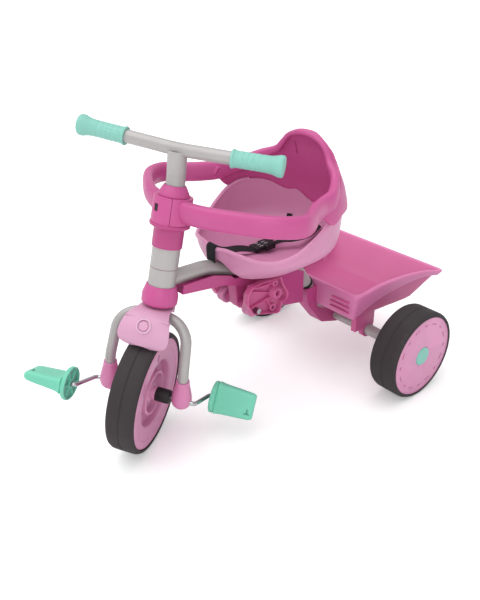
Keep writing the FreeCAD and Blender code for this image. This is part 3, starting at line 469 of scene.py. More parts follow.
AXLE_X, AXLE_Z = 497.5, 114.1
FRONT_SEAT, FRONT_RADIUS, FRONT_HALF = 103.2, 112.2, 26
REAR_SEAT, REAR_RADIUS, REAR_INNER, REAR_OUTER = 83.4, 92, 187, 249
TYRE_STEPS, SHOULDER = 160, 0.5

front_axle = steered @ at(AXLE_X, 0, AXLE_Z)
front_section = tyre_profile(FRONT_SEAT, FRONT_RADIUS, -FRONT_HALF, FRONT_HALF)
dress(turned("tyre", front_section, front_axle @ to_left, SHOULDER, TYRE_STEPS), "front_tyre_foam",
      "front_wheel", "tyre_rubber", tyre_black, "front_tyre")
rear_hub = straight @ at(0, 0, REAR_RADIUS)
rear_section = tyre_profile(REAR_SEAT, REAR_RADIUS, REAR_INNER, REAR_OUTER)
for side, outward, _ in SIDES:
    dress(turned("tyre", rear_section, rear_hub @ outward, SHOULDER, TYRE_STEPS), f"rear_tyre_foam_{side}",
          f"rear_wheel_{side}", "tyre_rubber", tyre_black, f"rear_tyre_{side}")

# ------------------------------------------------------------ rear wheel discs and caps
# The disc is a hollow moulding with ribs behind its face. A ring of short raised bars decorates the face,
# and a mint cap clicks into the middle over the end of the axle rod.
CAP_DOME = [(0, 240.5), (19.6, 240.5), (19.6, 246.6), (18.6, 248.4), (14, 249.8), (7, 250.6), (0, 250.9)]
BAR_SECTION = [(67.4, 246), (67.4, 247.5), (68, 248), (70, 248), (70.6, 247.5), (70.6, 246)]
BAR_COUNT, LONG_BAR, SHORT_BAR = 16, 0.016, 0.008
mark_pink = moulded("mark_pink_plastic", srgb(190, 122, 158))


def skin(name, rows, loop=False, close_last=False):
    """A sheet of four-sided faces through rows of points."""
    mesh = bmesh.new()
    grid = [[mesh.verts.new(point * MM) for point in row] for row in rows]
    count = len(rows[0])
    for low, high in zip(grid, grid[1:]):
        for i in range(count if loop else count - 1):
            mesh.faces.new((low[i], low[(i + 1) % count], high[(i + 1) % count], high[i]))
    if close_last:
        mesh.faces.new(grid[-1])
        mesh.faces.new(tuple(reversed(grid[0])))
    bmesh.ops.remove_doubles(mesh, verts=mesh.verts, dist=0.00002)
    bmesh.ops.recalc_face_normals(mesh, faces=mesh.faces)
    data = bpy.data.meshes.new(name)
    mesh.to_mesh(data)
    mesh.free()
    piece = bpy.data.objects.new(name, data)
    bpy.context.scene.collection.objects.link(piece)
    return piece


for side, outward, _ in SIDES:
    rounded_copy(f"rear_wheel_{side}", f"rear_wheel_{side}", "light_pink_plastic", light_pink, 0.9)
    cap = turned("cap", CAP_DOME, rear_hub @ outward, 0.4, 96)
    dress(cap, f"rear_cap_dome_{side}", f"rear_wheel_{side}", "mint_plastic", mint, f"rear_hub_cap_{side}")
    bars = []
    for number in range(BAR_COUNT):
        stretch = LONG_BAR if number % 2 else SHORT_BAR
        turns = [math.tau * number / BAR_COUNT + step * stretch for step in range(-6, 7)]
        bar = skin("bar", [[Vector((radius * math.cos(turn), radius * math.sin(turn), height))
                            for radius, height in BAR_SECTION] for turn in turns], loop=True, close_last=True)
        bar.data.transform(rear_hub @ outward)
        bars.append(bar)
    dress(joined(bars), f"rear_face_bars_{side}", f"rear_wheel_{side}", "light_pink_plastic", mark_pink)

# ------------------------------------------------------------ front wheel
# Two moulded halves with a broad flat ring, a deep recess and a raised inner ring round the black hub
# bush. A slot in the ring is where the tyre's end is tucked in.
DISC_HALF = [(4.2, 0.2), (103.0, 0.2), (103.2, 21), (102.2, 24), (90, 24.6), (88, 23), (66, 22.4), (62.5, 20),
             (61, 8), (43, 7), (41.4, 19), (37, 19.6), (35, 9), (22, 9.6), (18, 14), (13, 15.4), (12.6, 24),
             (4.2, 24)]
HUB_BUSH = [(4.2, 23), (12.8, 23), (13, 26), (13, 46), (11.6, 50), (4.2, 50)]
SLOT_TURN = 92
for side, outward, way in SIDES:
    half = turned("half", DISC_HALF, Matrix.Identity(4), 0.7, 144)
    slot_shape = block(at(77, 0, 22), 15, 7, 8)
    modify(slot_shape, "BEVEL", width=3.2 * MM, segments=4)
    carve(half, slot_shape)
    half.data.transform(front_axle @ outward @ Matrix.Rotation(math.radians(-SLOT_TURN * way), 4, "Z"))
    dress(half, f"front_disc_{side}", "front_wheel", "light_pink_plastic", light_pink, f"front_wheel_{side}")
    bush = turned("bush", HUB_BUSH, front_axle @ outward, 0.6, 96)
    dress(bush, f"hub_bush_{side}", "front_wheel", "black_plastic", black_plastic, f"front_hub_bush_{side}")

# ------------------------------------------------------------ fork shoes
# Rounded pink shoes on the fork's ends. They are turned bulbs with a neck, and the crank axle runs through
# them.
LEG_X, LEG_Y, BULB_RADIUS = 494, 69.3, 18.5
bulb = [(0, -18.4)]
for angle in range(12, 97, 12):
    bulb.append((BULB_RADIUS * math.sin(math.radians(angle)), -BULB_RADIUS * math.cos(math.radians(angle))))
bulb += [(17.9, 8), (16.6, 16), (14.9, 24), (13.2, 32), (12.3, 37), (12.1, 42), (9.7, 42), (9.7, 20), (0, 20)]
shoe_pink = moulded("shoe_pink_plastic", srgb(214, 132, 176))
for side, _, way in SIDES:
    shoe = turned("shoe", bulb, steered @ at(LEG_X, LEG_Y * way, AXLE_Z), 0.3, 96)
    dress(shoe, f"fork_end_bulb_{side}", "steering", "magenta_plastic", shoe_pink, f"fork_shoe_{side}")

# ------------------------------------------------------------ grips
# Soft mint sleeves pushed on the bar's ends, with a bead next to the hand, shallow rings and a flared end.
bar_middle = Vector((399.5, 0, 536))
BAR_SWEEP, BAR_HALF, BAR_RISE = 6.4, 170, 4.9
sleeve = [(11.1, -80), (15.2, -80), (15.5, -77), (14.0, -75)]
for start in range(-70, -25, 9):
    sleeve += [(13.7, start), (13.1, start + 1), (13.1, start + 2), (13.7, start + 3)]
sleeve += [(13.8, -22), (14.4, -15), (16.0, -8), (17.4, -4), (17.5, 2), (16.2, 4), (0, 4), (0, 0.3),
           (11.1, 0.3)]
for side, _, way in SIDES:
    reach = Vector((-BAR_SWEEP, BAR_HALF * way, BAR_RISE))
    along_bar = Vector((0, 0, 1)).rotation_difference(reach).to_matrix().to_4x4()
    place = steered @ at(*(bar_middle + reach)) @ along_bar
    dress(turned("sleeve", sleeve, place, 0.5, 96), f"grip_sleeve_{side}", "steering", "mint_plastic", mint,
          f"grip_{side}")

# ------------------------------------------------------------ seat tub
# The bucket that the child sits in, one light pink moulding. Its floor rises in a ridge over the main
# tube, the sides dip for the legs, and the rim has a rolled lip. It is lofted through level ovals.

# Each row holds a height, then the oval's middle, half length and half width there.
SEAT_FORM = [(278, 205, 95, 75), (300, 203, 116, 105), (322, 197, 129, 133), (350, 193, 134, 137),
             (394, 190, 132, 138), (430, 183, 115, 130), (455, 168, 91, 112), (480, 158, 75, 93),
             (514, 148, 50, 45)]


def along(table, value):
    """Reads a table of (value, results...) rows, with a smooth curve between the rows."""
    rows = [table[0]] + list(table) + [table[-1]]
    value = min(max(value, table[0][0]), table[-1][0])
    for before, low, high, after in zip(rows, rows[1:], rows[2:], rows[3:]):
        if value <= high[0]:
            break
    share = (value - low[0]) / (high[0] - low[0])
    results = []
    for a, b, c, d in zip(before[1:], low[1:], high[1:], after[1:]):
        slope_low, slope_high = (c - a) / 2, (d - b) / 2
        results.append((2 * b - 2 * c + slope_low + slope_high) * share ** 3
                       + (3 * c - 3 * b - 2 * slope_low - slope_high) * share ** 2 + slope_low * share + b)
    return results


def numbered(stations):
    """The stations with their numbers put first, so that along can read between them."""
    return [(number,) + station for number, station in enumerate(stations)]


def seat_point(angle, height, outwards=0.0):
    """A point of the seat's outer form, at an angle from straight ahead and a height."""
    middle, length, width = along(SEAT_FORM, height)
    length, width = length + outwards, width + outwards
    return Vector((middle + length * math.cos(angle), width * math.sin(angle), height))


# The rim's height at angles from straight ahead, and the height of the tube's top along the tricycle.
RIM_LINE = [(0, 343), (6, 343), (14, 345), (28, 340), (42, 333), (56, 334), (70, 345), (84, 366), (97, 386),
            (110, 396), (131, 393), (150, 375), (158, 378), (168, 364), (176, 357), (180, 356)]
TUBE_TOP = [(130, 262), (200, 280), (262, 297), (300, 309), (345, 323)]
RIDGE_HALF, RIDGE_EDGE, RIDGE_GAP = 28, 1.35, 3
FLOOR_HEIGHT, FLOOR_MIDDLE, FLOOR_LENGTH, FLOOR_WIDTH = SEAT_FORM[0]
WALL_FOOT, WALL_LEVELS = 281, 14


def ridge(point):
    """Lifts the floor where the main tube runs beneath it."""
    nearness = min(max(RIDGE_EDGE - abs(point.y) / RIDGE_HALF, 0), 1)
    nearness = nearness * nearness * (3 - 2 * nearness)
    lift = max(along(TUBE_TOP, point.x)[0] + RIDGE_GAP - point.z, 0) if point.x > TUBE_TOP[0][0] else 0
    return point + Vector((0, 0, lift * nearness))


columns = range(0, 360, 3)
rows = []
for share in (0.0, 0.2, 0.4, 0.6, 0.76, 0.88, 0.95):
    rows.append([ridge(Vector((FLOOR_MIDDLE + FLOOR_LENGTH * share * math.cos(math.radians(angle)),
                               FLOOR_WIDTH * share * math.sin(math.radians(angle)),
                               FLOOR_HEIGHT + 0.5 * share))) for angle in columns])
for level in range(WALL_LEVELS + 1):
    row = []
    for angle in columns:
        top = along(RIM_LINE, angle if angle <= 180 else 360 - angle)[0]
        height = WALL_FOOT + (top - WALL_FOOT) * level / WALL_LEVELS
        row.append(ridge(seat_point(math.radians(angle), height)))
    rows.append(row)
tub = skin("tub", rows, loop=True)
modify(tub, "SOLIDIFY", thickness=4.5 * MM, offset=-1, use_even_offset=True)
round_edges(tub, 1.6, 3, 50)
modify(tub, "SUBSURF", levels=1, render_levels=1)
dress(tub, "seat_bucket", "frame", "light_pink_plastic", light_pink, "seat_tub")


def sweep(name, stations, corners, power=2.0):
    """An oval bar through stations of (centre, half thickness, half height), upright all along."""
    rows = []
    for i, (centre, thick, high) in enumerate(stations):
        along_way = (stations[min(i + 1, len(stations) - 1)][0] - stations[max(i - 1, 0)][0]).normalized()
        across = Vector((0, 0, 1)).cross(along_way).normalized()
        upright = along_way.cross(across).normalized()
        row = []
        for number in range(corners):
            turn = math.tau * number / corners
            wide, tall = math.cos(turn), math.sin(turn)
            row.append(centre + across * thick * math.copysign(abs(wide) ** (2 / power), wide)
                       + upright * high * math.copysign(abs(tall) ** (2 / power), tall))
        rows.append(row)
    return skin(name, rows, loop=True, close_last=True)


LIP_END, LIP_RADIUS = 116, 4.2
lip = []
for angle in range(-LIP_END, LIP_END + 1, 2):
    top = along(RIM_LINE, abs(angle))[0]
    lip.append((ridge(seat_point(math.radians(angle), top - 1.5, -1.2)), LIP_RADIUS, LIP_RADIUS))
dress(sweep("lip", lip, 20), "seat_rolled_lip", "frame", "light_pink_plastic", light_pink)

# ------------------------------------------------------------ guard ring and backrest
# The guard ring runs from the collar round the child and on as the thick rim of the backrest. It is a
# magenta oval bar, swept along its run. The back panel stands on the tub's wavy rear edge inside the ring.

# Each station holds its place, half thickness and half height.
RING = [(410, 20, 438, 10.5, 19), (402, 66, 439, 10.5, 19), (380, 112, 438, 10.5, 19),
        (342, 164, 435, 10.5, 19), (300, 187, 430, 10.5, 19), (266, 178, 425, 10.5, 19),
        (234, 157, 424, 10.5, 19), (200, 141, 424, 10.5, 18.5), (168, 134, 429, 10.5, 17.5),
        (140, 115, 438, 9.6, 14), (121, 96, 451, 7.6, 10), (107, 71, 464, 6.2, 7), (102, 58, 480, 5.4, 5.6),
        (101, 44, 495, 5, 5), (101, 21, 505, 5, 5), (100, 0, 507, 5, 5)]
RING_STEPS = 8
left_half = []
for step in range((len(RING) - 1) * RING_STEPS + 1):
    x, y, z, thick, high = along(numbered(RING), step / RING_STEPS)
    left_half.append((Vector((x, y, z)), thick, high))
right_half = [(Vector((c.x, -c.y, c.z)), thick, high) for c, thick, high in reversed(left_half[:-1])]
ring = sweep("ring", left_half + right_half, 36, 2.5)
dress(ring, "guard_ring", "frame", "magenta_plastic", magenta, "guard_arm_left", "guard_arm_right")

# The panel's top edge by its distance from the middle, and its foot by its angle from straight ahead.
TOP_LINE = [(0, 508), (21, 506), (44, 495), (58, 480), (71, 464), (96, 451), (115, 438), (134, 428),
            (150, 424)]
PANEL_FOOT = [(76, 420), (82, 414), (88, 402), (97, 386), (103, 388), (110, 394), (131, 391), (150, 373),
              (158, 376), (168, 362), (176, 355), (180, 354)]
PANEL_END, PANEL_LEVELS, PANEL_OUTWARDS, LEAST_HEIGHT = 76, 14, 1.4, 4
rows = [[] for _ in range(PANEL_LEVELS + 1)]
for angle in range(PANEL_END, 361 - PANEL_END, 3):
    foot = along(PANEL_FOOT, angle if angle <= 180 else 360 - angle)[0]
    top = 445.0
    for _ in range(40):
        top = (top + along(TOP_LINE, abs(seat_point(math.radians(angle), top).y))[0]) / 2
    rise = max(top - foot, LEAST_HEIGHT)
    for level, row in enumerate(rows):
        row.append(seat_point(math.radians(angle), foot + rise * level / PANEL_LEVELS, PANEL_OUTWARDS))
panel = skin("panel", rows)
modify(panel, "SOLIDIFY", thickness=7.5 * MM, offset=1 if panel.data.polygons[0].normal.x > 0 else -1)
round_edges(panel, 1.5, 3, 50)
for way in (1, -1):
    carve(panel, block(at(92, 39 * way, 468), 70, 3.6, 24))
dress(panel, "back_panel", "frame", "magenta_plastic", magenta, "backrest_shell")

for piece_name in ("seat_bucket", "seat_rolled_lip", "guard_ring", "back_panel"):
    bpy.data.objects[piece_name].data.transform(straight)

# ------------------------------------------------------------ tipping bin
# A wide open tray in rose plastic that hangs on the axle tube by two clips. Its side rims roll outwards
# and hang down as broad aprons that narrow towards the rear, and its front panel is stiffened by three
# ribs at each end.
BIN_FRONT, BIN_REAR, BIN_FLOOR = 60, -106.5, 137
FRONT_WIDTH, REAR_WIDTH, CORNER_RADIUS = 110, 126, 9
FRONT_FLARE, REAR_FLARE, REAR_SLOPE = 0.115, 0.4375, 1.279
# The rim's height and the apron's depth along the bin, and the height over which the sides' lean is read.
BIN_RIM = [(-183, 189), (-173, 190), (-125, 203), (-60, 209), (0, 207), (60, 195)]
APRON = [(-183, 7), (-150, 8), (-100, 15), (-40, 27), (10, 39), (60, 51)]
SPAN = 100


def rounded_outline(corners, radius, steps=6, side_steps=14):
    """Points round a level outline with rounded corners, the same number for any outline."""
    points = []
    count = len(corners)
    for i, corner in enumerate(corners):
        before = (corners[i - 1] - corner).normalized()
        after = (corners[(i + 1) % count] - corner).normalized()
        start, end = corner + before * radius, corner + after * radius
        for step in range(steps + 1):
            share = step / steps
            points.append(start * (1 - share) ** 2 + corner * 2 * share * (1 - share) + end * share ** 2)
        following = corners[(i + 1) % count]
        next_start = following - after * radius
        for step in range(1, side_steps):
            points.append(end.lerp(next_start, step / side_steps))
    return points


def bin_outline(height, outwards=0.0):
    """The bin's level outline at a height, with sides that lean outwards."""
    up = height - BIN_FLOOR
    front, rear = BIN_FRONT + outwards, BIN_REAR - REAR_SLOPE * up - outwards
    front_half, rear_half = FRONT_WIDTH + FRONT_FLARE * up + outwards, REAR_WIDTH + REAR_FLARE * up + outwards
    return rounded_outline([Vector((front, front_half, height)), Vector((rear, rear_half, height)),
                            Vector((rear, -rear_half, height)), Vector((front, -front_half, height))],
                           CORNER_RADIUS + 0.1 * up)


def bin_wall(share, outwards=0.0, drop=0.0, apron=0.0):
    """The outline at a share of the way from the floor to the rim, which rises and falls round the bin. A rim
    rolled over hangs down from there by a share of the apron's full depth."""
    low, high = bin_outline(BIN_FLOOR, outwards), bin_outline(BIN_FLOOR + SPAN, outwards)
    row = []
    for foot, head in zip(low, high):
        rim = 190.0
        for _ in range(12):
            spot = foot.lerp(head, (rim - BIN_FLOOR) / SPAN)
            rim = (rim + along(BIN_RIM, spot.x)[0]) / 2
        height = BIN_FLOOR + (rim - BIN_FLOOR) * share - drop
        if apron:
            spot = foot.lerp(head, (height - BIN_FLOOR) / SPAN)
            height -= along(APRON, spot.x)[0] * apron
        row.append(foot.lerp(head, (height - BIN_FLOOR) / SPAN))
    return row


BIN_MIDDLE, WALL_STEPS = -17, 12
rows = []
for share, lift in ((0.0, 0), (0.35, 0), (0.7, 0), (0.93, 0), (0.985, 1.2)):
    rows.append([Vector((BIN_MIDDLE + (point.x - BIN_MIDDLE) * share, point.y * share, BIN_FLOOR + lift))
                 for point in bin_outline(BIN_FLOOR)])
rows.append(bin_wall(0.11))
rows += [bin_wall(level / WALL_STEPS) for level in range(2, WALL_STEPS + 1)]
tray = skin("tray", rows, loop=True)
modify(tray, "SOLIDIFY", thickness=3 * MM, offset=-1, use_even_offset=True)
round_edges(tray, 1.1, 2, 50)
tray.data.transform(straight)
dress(tray, "bin_tray", "bin", "bin_pink_plastic", rose, "bin")

ROLL = [(0, 0), (0.8, -1.6), (3, -2.4), (6, -2), (7.6, -0.4)]
rim_rows = [bin_wall(1, outwards, drop) for outwards, drop in ROLL]
for share in (0.04, 0.12, 0.25, 0.4, 0.55, 0.7, 0.85, 1.0):
    rim_rows.append(bin_wall(1, 8.2 - 0.8 * share, apron=share))
# The rolled rim and its aprons are the same rose plastic as the tray; their paler copy of it is a painted highlight.
highlight_rim_pink = moulded("painted_highlight_rim_plastic", srgb(214, 122, 172))
apron = skin("apron", rim_rows, loop=True)
modify(apron, "SOLIDIFY", thickness=2.4 * MM, offset=-1, use_even_offset=True)
round_edges(apron, 0.9, 2, 50)
apron.data.transform(straight)
dress(apron, "bin_rim_apron", "bin", "bin_pink_plastic", highlight_rim_pink)

RIB_X, RIB_OUTER = 69, 108
ribs = []
for way in (1, -1):
    for height, inner in ((178, 62), (167, 58), (156, 58)):
        rib = block(straight @ at(RIB_X, way * (inner + RIB_OUTER) / 2, height), 6, RIB_OUTER - inner, 3.2)
        modify(rib, "BEVEL", width=0.9 * MM, segments=2)
        ribs.append(rib)
dress(joined(ribs), "bin_front_ribs", "bin", "bin_pink_plastic", rose)

# ------------------------------------------------------------ mudguard
# A light pink visor over the front tyre, clipped under the lower collar. It curls down in front to a
# rounded lip, has a short tail behind, and carries a plain round badge.

# Each row holds the reach ahead of the column, the height from its foot and the half width.
VISOR = [(-52, -28, 14), (-40, -15, 18), (-28, -3.6, 22), (0, -2.6, 28), (22, -2.8, 30), (40, -5.5, 35),
         (55, -14, 41), (64, -28, 45), (68, -42, 45), (69, -50, 40), (69.2, -54, 31), (69.3, -56, 17)]
VISOR_STEPS, VISOR_COLUMNS, FACE_TOP = 6, 24, -12
BADGE_TURN = 62
rows = []
for step in range((len(VISOR) - 1) * VISOR_STEPS + 1):
    reach, height, half = along(numbered(VISOR), step / VISOR_STEPS)
    crown = 1.5 + 6 * min(max((reach - 10) / 58, 0), 1)
    backwards = 0.9 if height < FACE_TOP and reach > 0 else 0.1
    row = []
    for number in range(VISOR_COLUMNS + 1):
        across = 2 * number / VISOR_COLUMNS - 1
        back = crown * across * across
        row.append(Vector((reach - back * backwards, half * across, height - back * 0.7)))
    rows.append(row)
visor = skin("visor", rows)
if visor.data.polygons[len(visor.data.polygons) // 3].normal.z < 0:
    visor.data.flip_normals()
modify(visor, "SOLIDIFY", thickness=3 * MM, offset=-1, use_even_offset=True)
round_edges(visor, 1.1, 3, 50)
visor.data.transform(on_steered_column)
visor_pink = moulded("visor_pink_plastic", srgb(213, 160, 190))
dress(visor, "mudguard_visor", "steering", "light_pink_plastic", visor_pink, "mudguard")

badge_spot = on_steered_column @ at(61.8, 0, -22.5) @ Matrix.Rotation(math.radians(BADGE_TURN), 4, "Y")
badge_pale = moulded("badge_pale_plastic", srgb(226, 190, 212), 0.45)
badge_ring = turned("ring", [(10.6, -2), (12.6, -2), (12.6, 1.4), (12.1, 1.9), (11.1, 1.9), (10.6, 1.4)],
                    badge_spot, 0.2, 96)
dress(badge_ring, "badge_ring", "steering", "badge_plastic", badge_pale, "mudguard_badge")
badge_disc = turned("disc", [(0, -2), (8, -2), (8, 0.9), (7.4, 1.4), (0, 1.6)], badge_spot, 0.2, 64)
dress(badge_disc, "badge_disc", "steering", "badge_plastic", visor_pink)

# ------------------------------------------------------------ pedals
# Hollow mint blocks that spin on the ends of the crank. Each has a round guard plate whose inner face is
# ribbed, a grip that gets thinner outwards, and a small window at its outer end.
GUARD_PLATE = [(4.4, 114.5), (26.6, 114.5), (26.6, 111.2), (28.6, 110.6), (30, 111.6), (30.2, 116.5),
               (28, 119.2), (22, 120.6), (4.4, 121)]
# How much the grip swells, by the share of the way along it.
GRIP_FULLNESS = [(0.0, 0.0), (0.02, 3.0), (0.06, 1.6), (0.12, 0.6), (0.2, 0), (0.4, 0), (0.6, 0), (0.8, 0),
                 (0.92, -0.6), (0.97, -2.4), (1.0, -5.5)]
GRIP_START, GRIP_LENGTH, GRIP_HALF, GRIP_THICK = 119, 72, 29, 13
CRANK_RUN, CRANK_DROP, SPOKES = 62, 24, 6
PEDAL_SPIN = {"left": 62, "right": -22}
mint_pedal = moulded("pedal_mint_plastic", srgb(118, 206, 178), 0.45, 0.4)
for side, outward, way in SIDES:
    pin = (steered @ at(AXLE_X - CRANK_RUN * way, 0, AXLE_Z - CRANK_DROP * way)
           @ Matrix.Rotation(math.radians(PEDAL_SPIN[side]), 4, "Y") @ outward)
    plate = turned("plate", GUARD_PLATE, pin, 0.4, 96)
    spokes = [block(pin @ Matrix.Rotation(math.tau * number / SPOKES, 4, "Z") @ at(17, 0, 113.2), 22, 2, 3.6)
              for number in range(SPOKES)]
    hub = turned("hub", [(4.4, 111), (8.5, 111), (8.5, 118), (4.4, 118)], pin, 0.3, 48)
    rows = []
    for share, fuller in GRIP_FULLNESS:
        half, thick = GRIP_HALF - 4 * share + fuller * 0.5, GRIP_THICK - 4.5 * share + fuller * 0.7
        corners = [Vector((half, thick, 0)), Vector((-half, thick, 0)),
                   Vector((-half, -thick, 0)), Vector((half, -thick, 0))]
        rows.append([Vector((point.x, point.y, GRIP_START + GRIP_LENGTH * share))
                     for point in rounded_outline(corners, min(9 - 3 * share, thick * 0.8), 6, 6)])
    grip = skin("grip", rows, loop=True, close_last=True)
    for x, face, wide, high in ((14, -11, 3, 9), (14, 11, 3, 9), (9, -11, 7, 3), (9, 11, 7, 3)):
        carve(grip, block(at(x, face, 181), wide, 9, high))
    bpy.ops.object.select_all(action="DESELECT")
    bpy.ops.mesh.primitive_cylinder_add(vertices=48, radius=4.5 * MM, depth=84 * MM)
    bore = bpy.context.object
    bore.data.transform(at(0, 0, 144))
    carve(grip, bore)
    grip.data.transform(pin)
    pedal = joined([plate, hub, grip] + spokes)
    dress(pedal, f"pedal_block_{side}", f"pedal_{side}", "mint_plastic", mint_pedal, f"pedal_{side}")

# ------------------------------------------------------------ footrests
# Two pink footrests turn on a cross shaft under the main tube. Each is a D-shaped dish, hollow on its
# outer side and stiffened by ribs round a tapered boss, on a barrel that ends in a slotted disc. A ribbed
# sleeve lies between.
DISH_FORM = [(13, -4), (27, 20), (25, 41), (13, 53), (-10, 55.5), (-58, 53), (-65, 33), (-78, 12), (-76, 1),
             (-61, -2), (-58.5, -19), (-51.5, -24), (-15, -12.5)]
# The dish's section, as a share of its outline and a depth along the shaft, and its ribs' place, length
# and tilt.
DISH_WALL = [(0.0, 47), (0.45, 47), (0.84, 47), (0.905, 48.2), (0.925, 50), (0.93, 56.5), (0.945, 58.2),
             (0.975, 58.8), (0.997, 57.6), (1.004, 55.5), (1.0, 46.5), (0.985, 44.4), (0.93, 44), (0.45, 44),
             (0.0, 44)]
DISH_RIBS = [(-12, 33, 46, 20), (-10, 12, 48, -10), (-30, 4, 26, 62), (-14, 45, 36, 4)]
BOSS = [(5, 46), (15, 46), (14.4, 52), (11.5, 58), (9.5, 61.5), (6.5, 61.5), (5, 58)]
EYE = [(2.6, 46), (7, 46), (6.6, 55), (5.4, 56.4), (3.4, 56.4), (2.6, 55)]
SOCKET = [(4.2, 46), (8, 46), (7.6, 53), (6.8, 54), (4.2, 54)]
BOLT = [(0, 47), (4.0, 47), (4.0, 49), (2, 50.4), (0, 50.6)]
BARREL = [(5.2, 28.6), (13.2, 28.6), (13.2, 27.8), (16, 28.2), (17.2, 29.4), (17.2, 34), (15.6, 35),
          (15.6, 39), (16.6, 40), (16.6, 45), (5.2, 45)]
RIBBED_SLEEVE = [(5.2, 12.2), (11, 12.2), (11, 14.6), (9.2, 15.2), (9.2, 17.2), (11, 17.8), (11, 20.2),
                 (9.2, 20.8), (9.2, 22.8), (11, 23.4), (11, 26), (9, 27.4), (5.2, 27.4)]
SHAFT_X, SHAFT_Z, DISH_MIDDLE_X, DISH_MIDDLE_Z = 268, 214, -26, 17
footrest_pink = moulded("footrest_pink_plastic", srgb(204, 96, 148))
barrel_pink = moulded("barrel_pink_plastic", srgb(208, 130, 170))
for side, outward, way in SIDES:
    up = -way
    shaft_end = straight @ at(SHAFT_X, 0, SHAFT_Z) @ outward
    bolt_place = shaft_end @ at(-41, -9 * up, 0)
    edge = rounded_outline([Vector((x, z * up, 0)) for x, z in DISH_FORM], 4.5, 5, 4)
    middle = Vector((DISH_MIDDLE_X, DISH_MIDDLE_Z * up, 0))
    rows = []
    for share, depth in DISH_WALL:
        level = Vector((0, 0, depth))
        rows.append([middle + (point - middle) * share + level for point in edge])
    dish = skin("dish", rows, loop=True)
    dish.data.transform(shaft_end)
    extras = [turned("boss", BOSS, shaft_end @ at(-47, 22 * up, 0), 0.6, 64),
              turned("eye", EYE, shaft_end @ at(-45, 42 * up, 0), 0.4, 48),
              turned("socket", SOCKET, bolt_place, 0.4, 48)]
    for x, z, length, tilt in DISH_RIBS:
        tilted = shaft_end @ at(x, z * up, 50) @ Matrix.Rotation(math.radians(tilt) * up, 4, "Z")
        rib = block(tilted, length, 1.8, 8)
        modify(rib, "BEVEL", width=0.5 * MM, segments=2)
        extras.append(rib)
    body = f"footrest_{side}"
    dress(joined([dish] + extras), f"footrest_dish_{side}", body, "magenta_plastic", footrest_pink, body)
    bolt = turned("bolt", BOLT, bolt_place, 0.3, 32)
    dress(bolt, f"footrest_bolt_{side}", body, "bright_steel", bright_zinc)
    barrel = turned("barrel", BARREL, shaft_end, 0.3, 72)
    dress(barrel, f"footrest_barrel_{side}", body, "magenta_plastic", barrel_pink)
    ribbed = turned("sleeve", RIBBED_SLEEVE, shaft_end, 0.3, 64)
    # The sleeve under the main tube takes the darker magenta copy, as painted shade.
    dress(ribbed, f"footrest_sleeve_{side}", "frame", "magenta_plastic", shaded_magenta)

# ------------------------------------------------------------ harness
# Black webbing, woven in fine ribs, joined by a black buckle that lies on the seat's floor. The crotch
# strap comes up over the seat's front lip, and the two lap straps are threaded through the back of the
# seat.
webbing, nodes, links, surface = shader("black_webbing", Roughness=0.85, Specular_IOR_Level=0.2)
place = added(nodes, "TexCoord")
weave = added(nodes, "TexWave", Scale=260, Distortion=1.5)
weave.bands_direction = "DIAGONAL"
tint = added(nodes, "ValToRGB")
tint.color_ramp.elements[0].color = srgb(22, 22, 24)
tint.color_ramp.elements[1].color = srgb(46, 46, 49)
bump = added(nodes, "Bump", Strength=0.5, Distance=0.0005)
links.new(place.outputs["Object"], weave.inputs["Vector"])
links.new(weave.outputs["Fac"], tint.inputs["Fac"])
links.new(tint.outputs["Color"], surface.inputs["Base Color"])
links.new(weave.outputs["Fac"], bump.inputs["Height"])
links.new(bump.outputs["Normal"], surface.inputs["Normal"])


WEB_SECTION = [(-1, 0), (-0.97, 0.7), (-0.5, 0.85), (0, 0.85), (0.5, 0.85), (0.97, 0.7), (1, 0), (0.97, -0.7),
               (0.5, -0.85), (0, -0.85), (-0.5, -0.85), (-0.97, -0.7)]
WEB_STEPS = 10


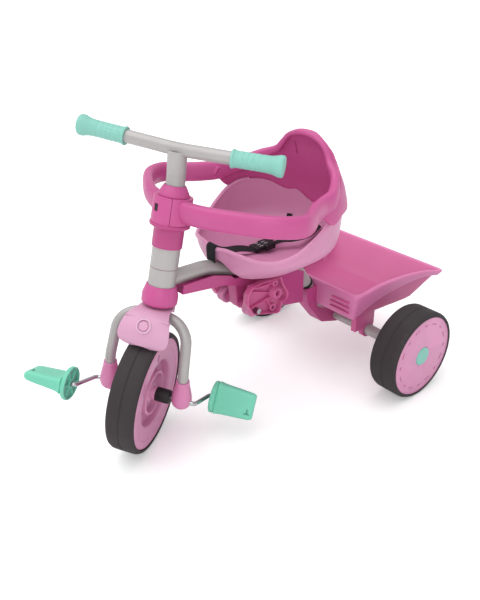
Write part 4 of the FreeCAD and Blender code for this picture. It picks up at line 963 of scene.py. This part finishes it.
def strap(name, stations, half, node):
    """Flat webbing through stations of (x, y, z, twist): a smooth run with rounded edges."""
    rows, run = [], []
    for step in range((len(stations) - 1) * WEB_STEPS + 1):
        x, y, z, twist = along(numbered(stations), step / WEB_STEPS)
        run.append((Vector((x, y, z)), Vector((math.sin(twist), math.cos(twist), 0))))
    for i, (centre, level) in enumerate(run):
        ahead = (run[min(i + 1, len(run) - 1)][0] - run[max(i - 1, 0)][0]).normalized()
        across = (level - ahead * ahead.dot(level)).normalized()
        face = ahead.cross(across)
        rows.append([centre + across * half * u + face * v for u, v in WEB_SECTION])
    piece = skin(name, rows, loop=True, close_last=True)
    piece.data.transform(straight)
    return dress(piece, name, "frame", "webbing", webbing, node)


CROTCH_RUN = [(330.5, 0, 316, 0), (331.5, 0, 332, 0), (331, 0, 343, 0), (326, 0, 347.5, 0),
              (320.5, 0, 345, 0), (313, 0, 337, 0.05), (288, -3, 325, 0.2), (258, -9, 316, 0.35),
              (230, -17, 305, 0.4), (213, -21, 298, 0.2)]
LEFT_RUN = [(162, -16, 297, 0), (146, -8, 300, 0.4), (128, 4, 300, 0.6), (104, 22, 308, 0.4),
            (84, 32, 328, 0.2)]
RIGHT_RUN = [(162, -29, 297, 0), (146, -34, 299, -0.2), (126, -40, 300, -0.3), (104, -46, 308, -0.2),
             (84, -52, 328, -0.1)]
CROTCH_HALF, LAP_HALF = 12, 6
strap("crotch_webbing", CROTCH_RUN, CROTCH_HALF, "crotch_strap")
strap("lap_webbing_left", LEFT_RUN, LAP_HALF, "lap_strap_left")
strap("lap_webbing_right", RIGHT_RUN, LAP_HALF, "lap_strap_right")
for node in ("buckle_plug", "buckle_socket"):
    rounded_copy(node, "frame", "black_plastic", black_plastic, 0.6)
prongs = []
for x, y, z in ((196, -30, 301), (196, -22, 301), (196, -14, 301), (182, -26, 302), (182, -18, 302)):
    prong = block(straight @ at(x, y, z), 9, 1.8, 2.4)
    modify(prong, "BEVEL", width=0.4 * MM, segments=2)
    prongs.append(prong)
# The adjuster's bars are black plastic like the buckle; their pale grey is a painted glint.
glint_grey = moulded("painted_glint_grey", srgb(170, 168, 172))
dress(joined(prongs), "buckle_prongs", "frame", "black_plastic", glint_grey)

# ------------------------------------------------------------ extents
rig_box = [list(corner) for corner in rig.bounds()]
import json
with open("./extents.json", "w") as sizes:
    json.dump({"cad": cad_box, "visual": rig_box}, sizes)
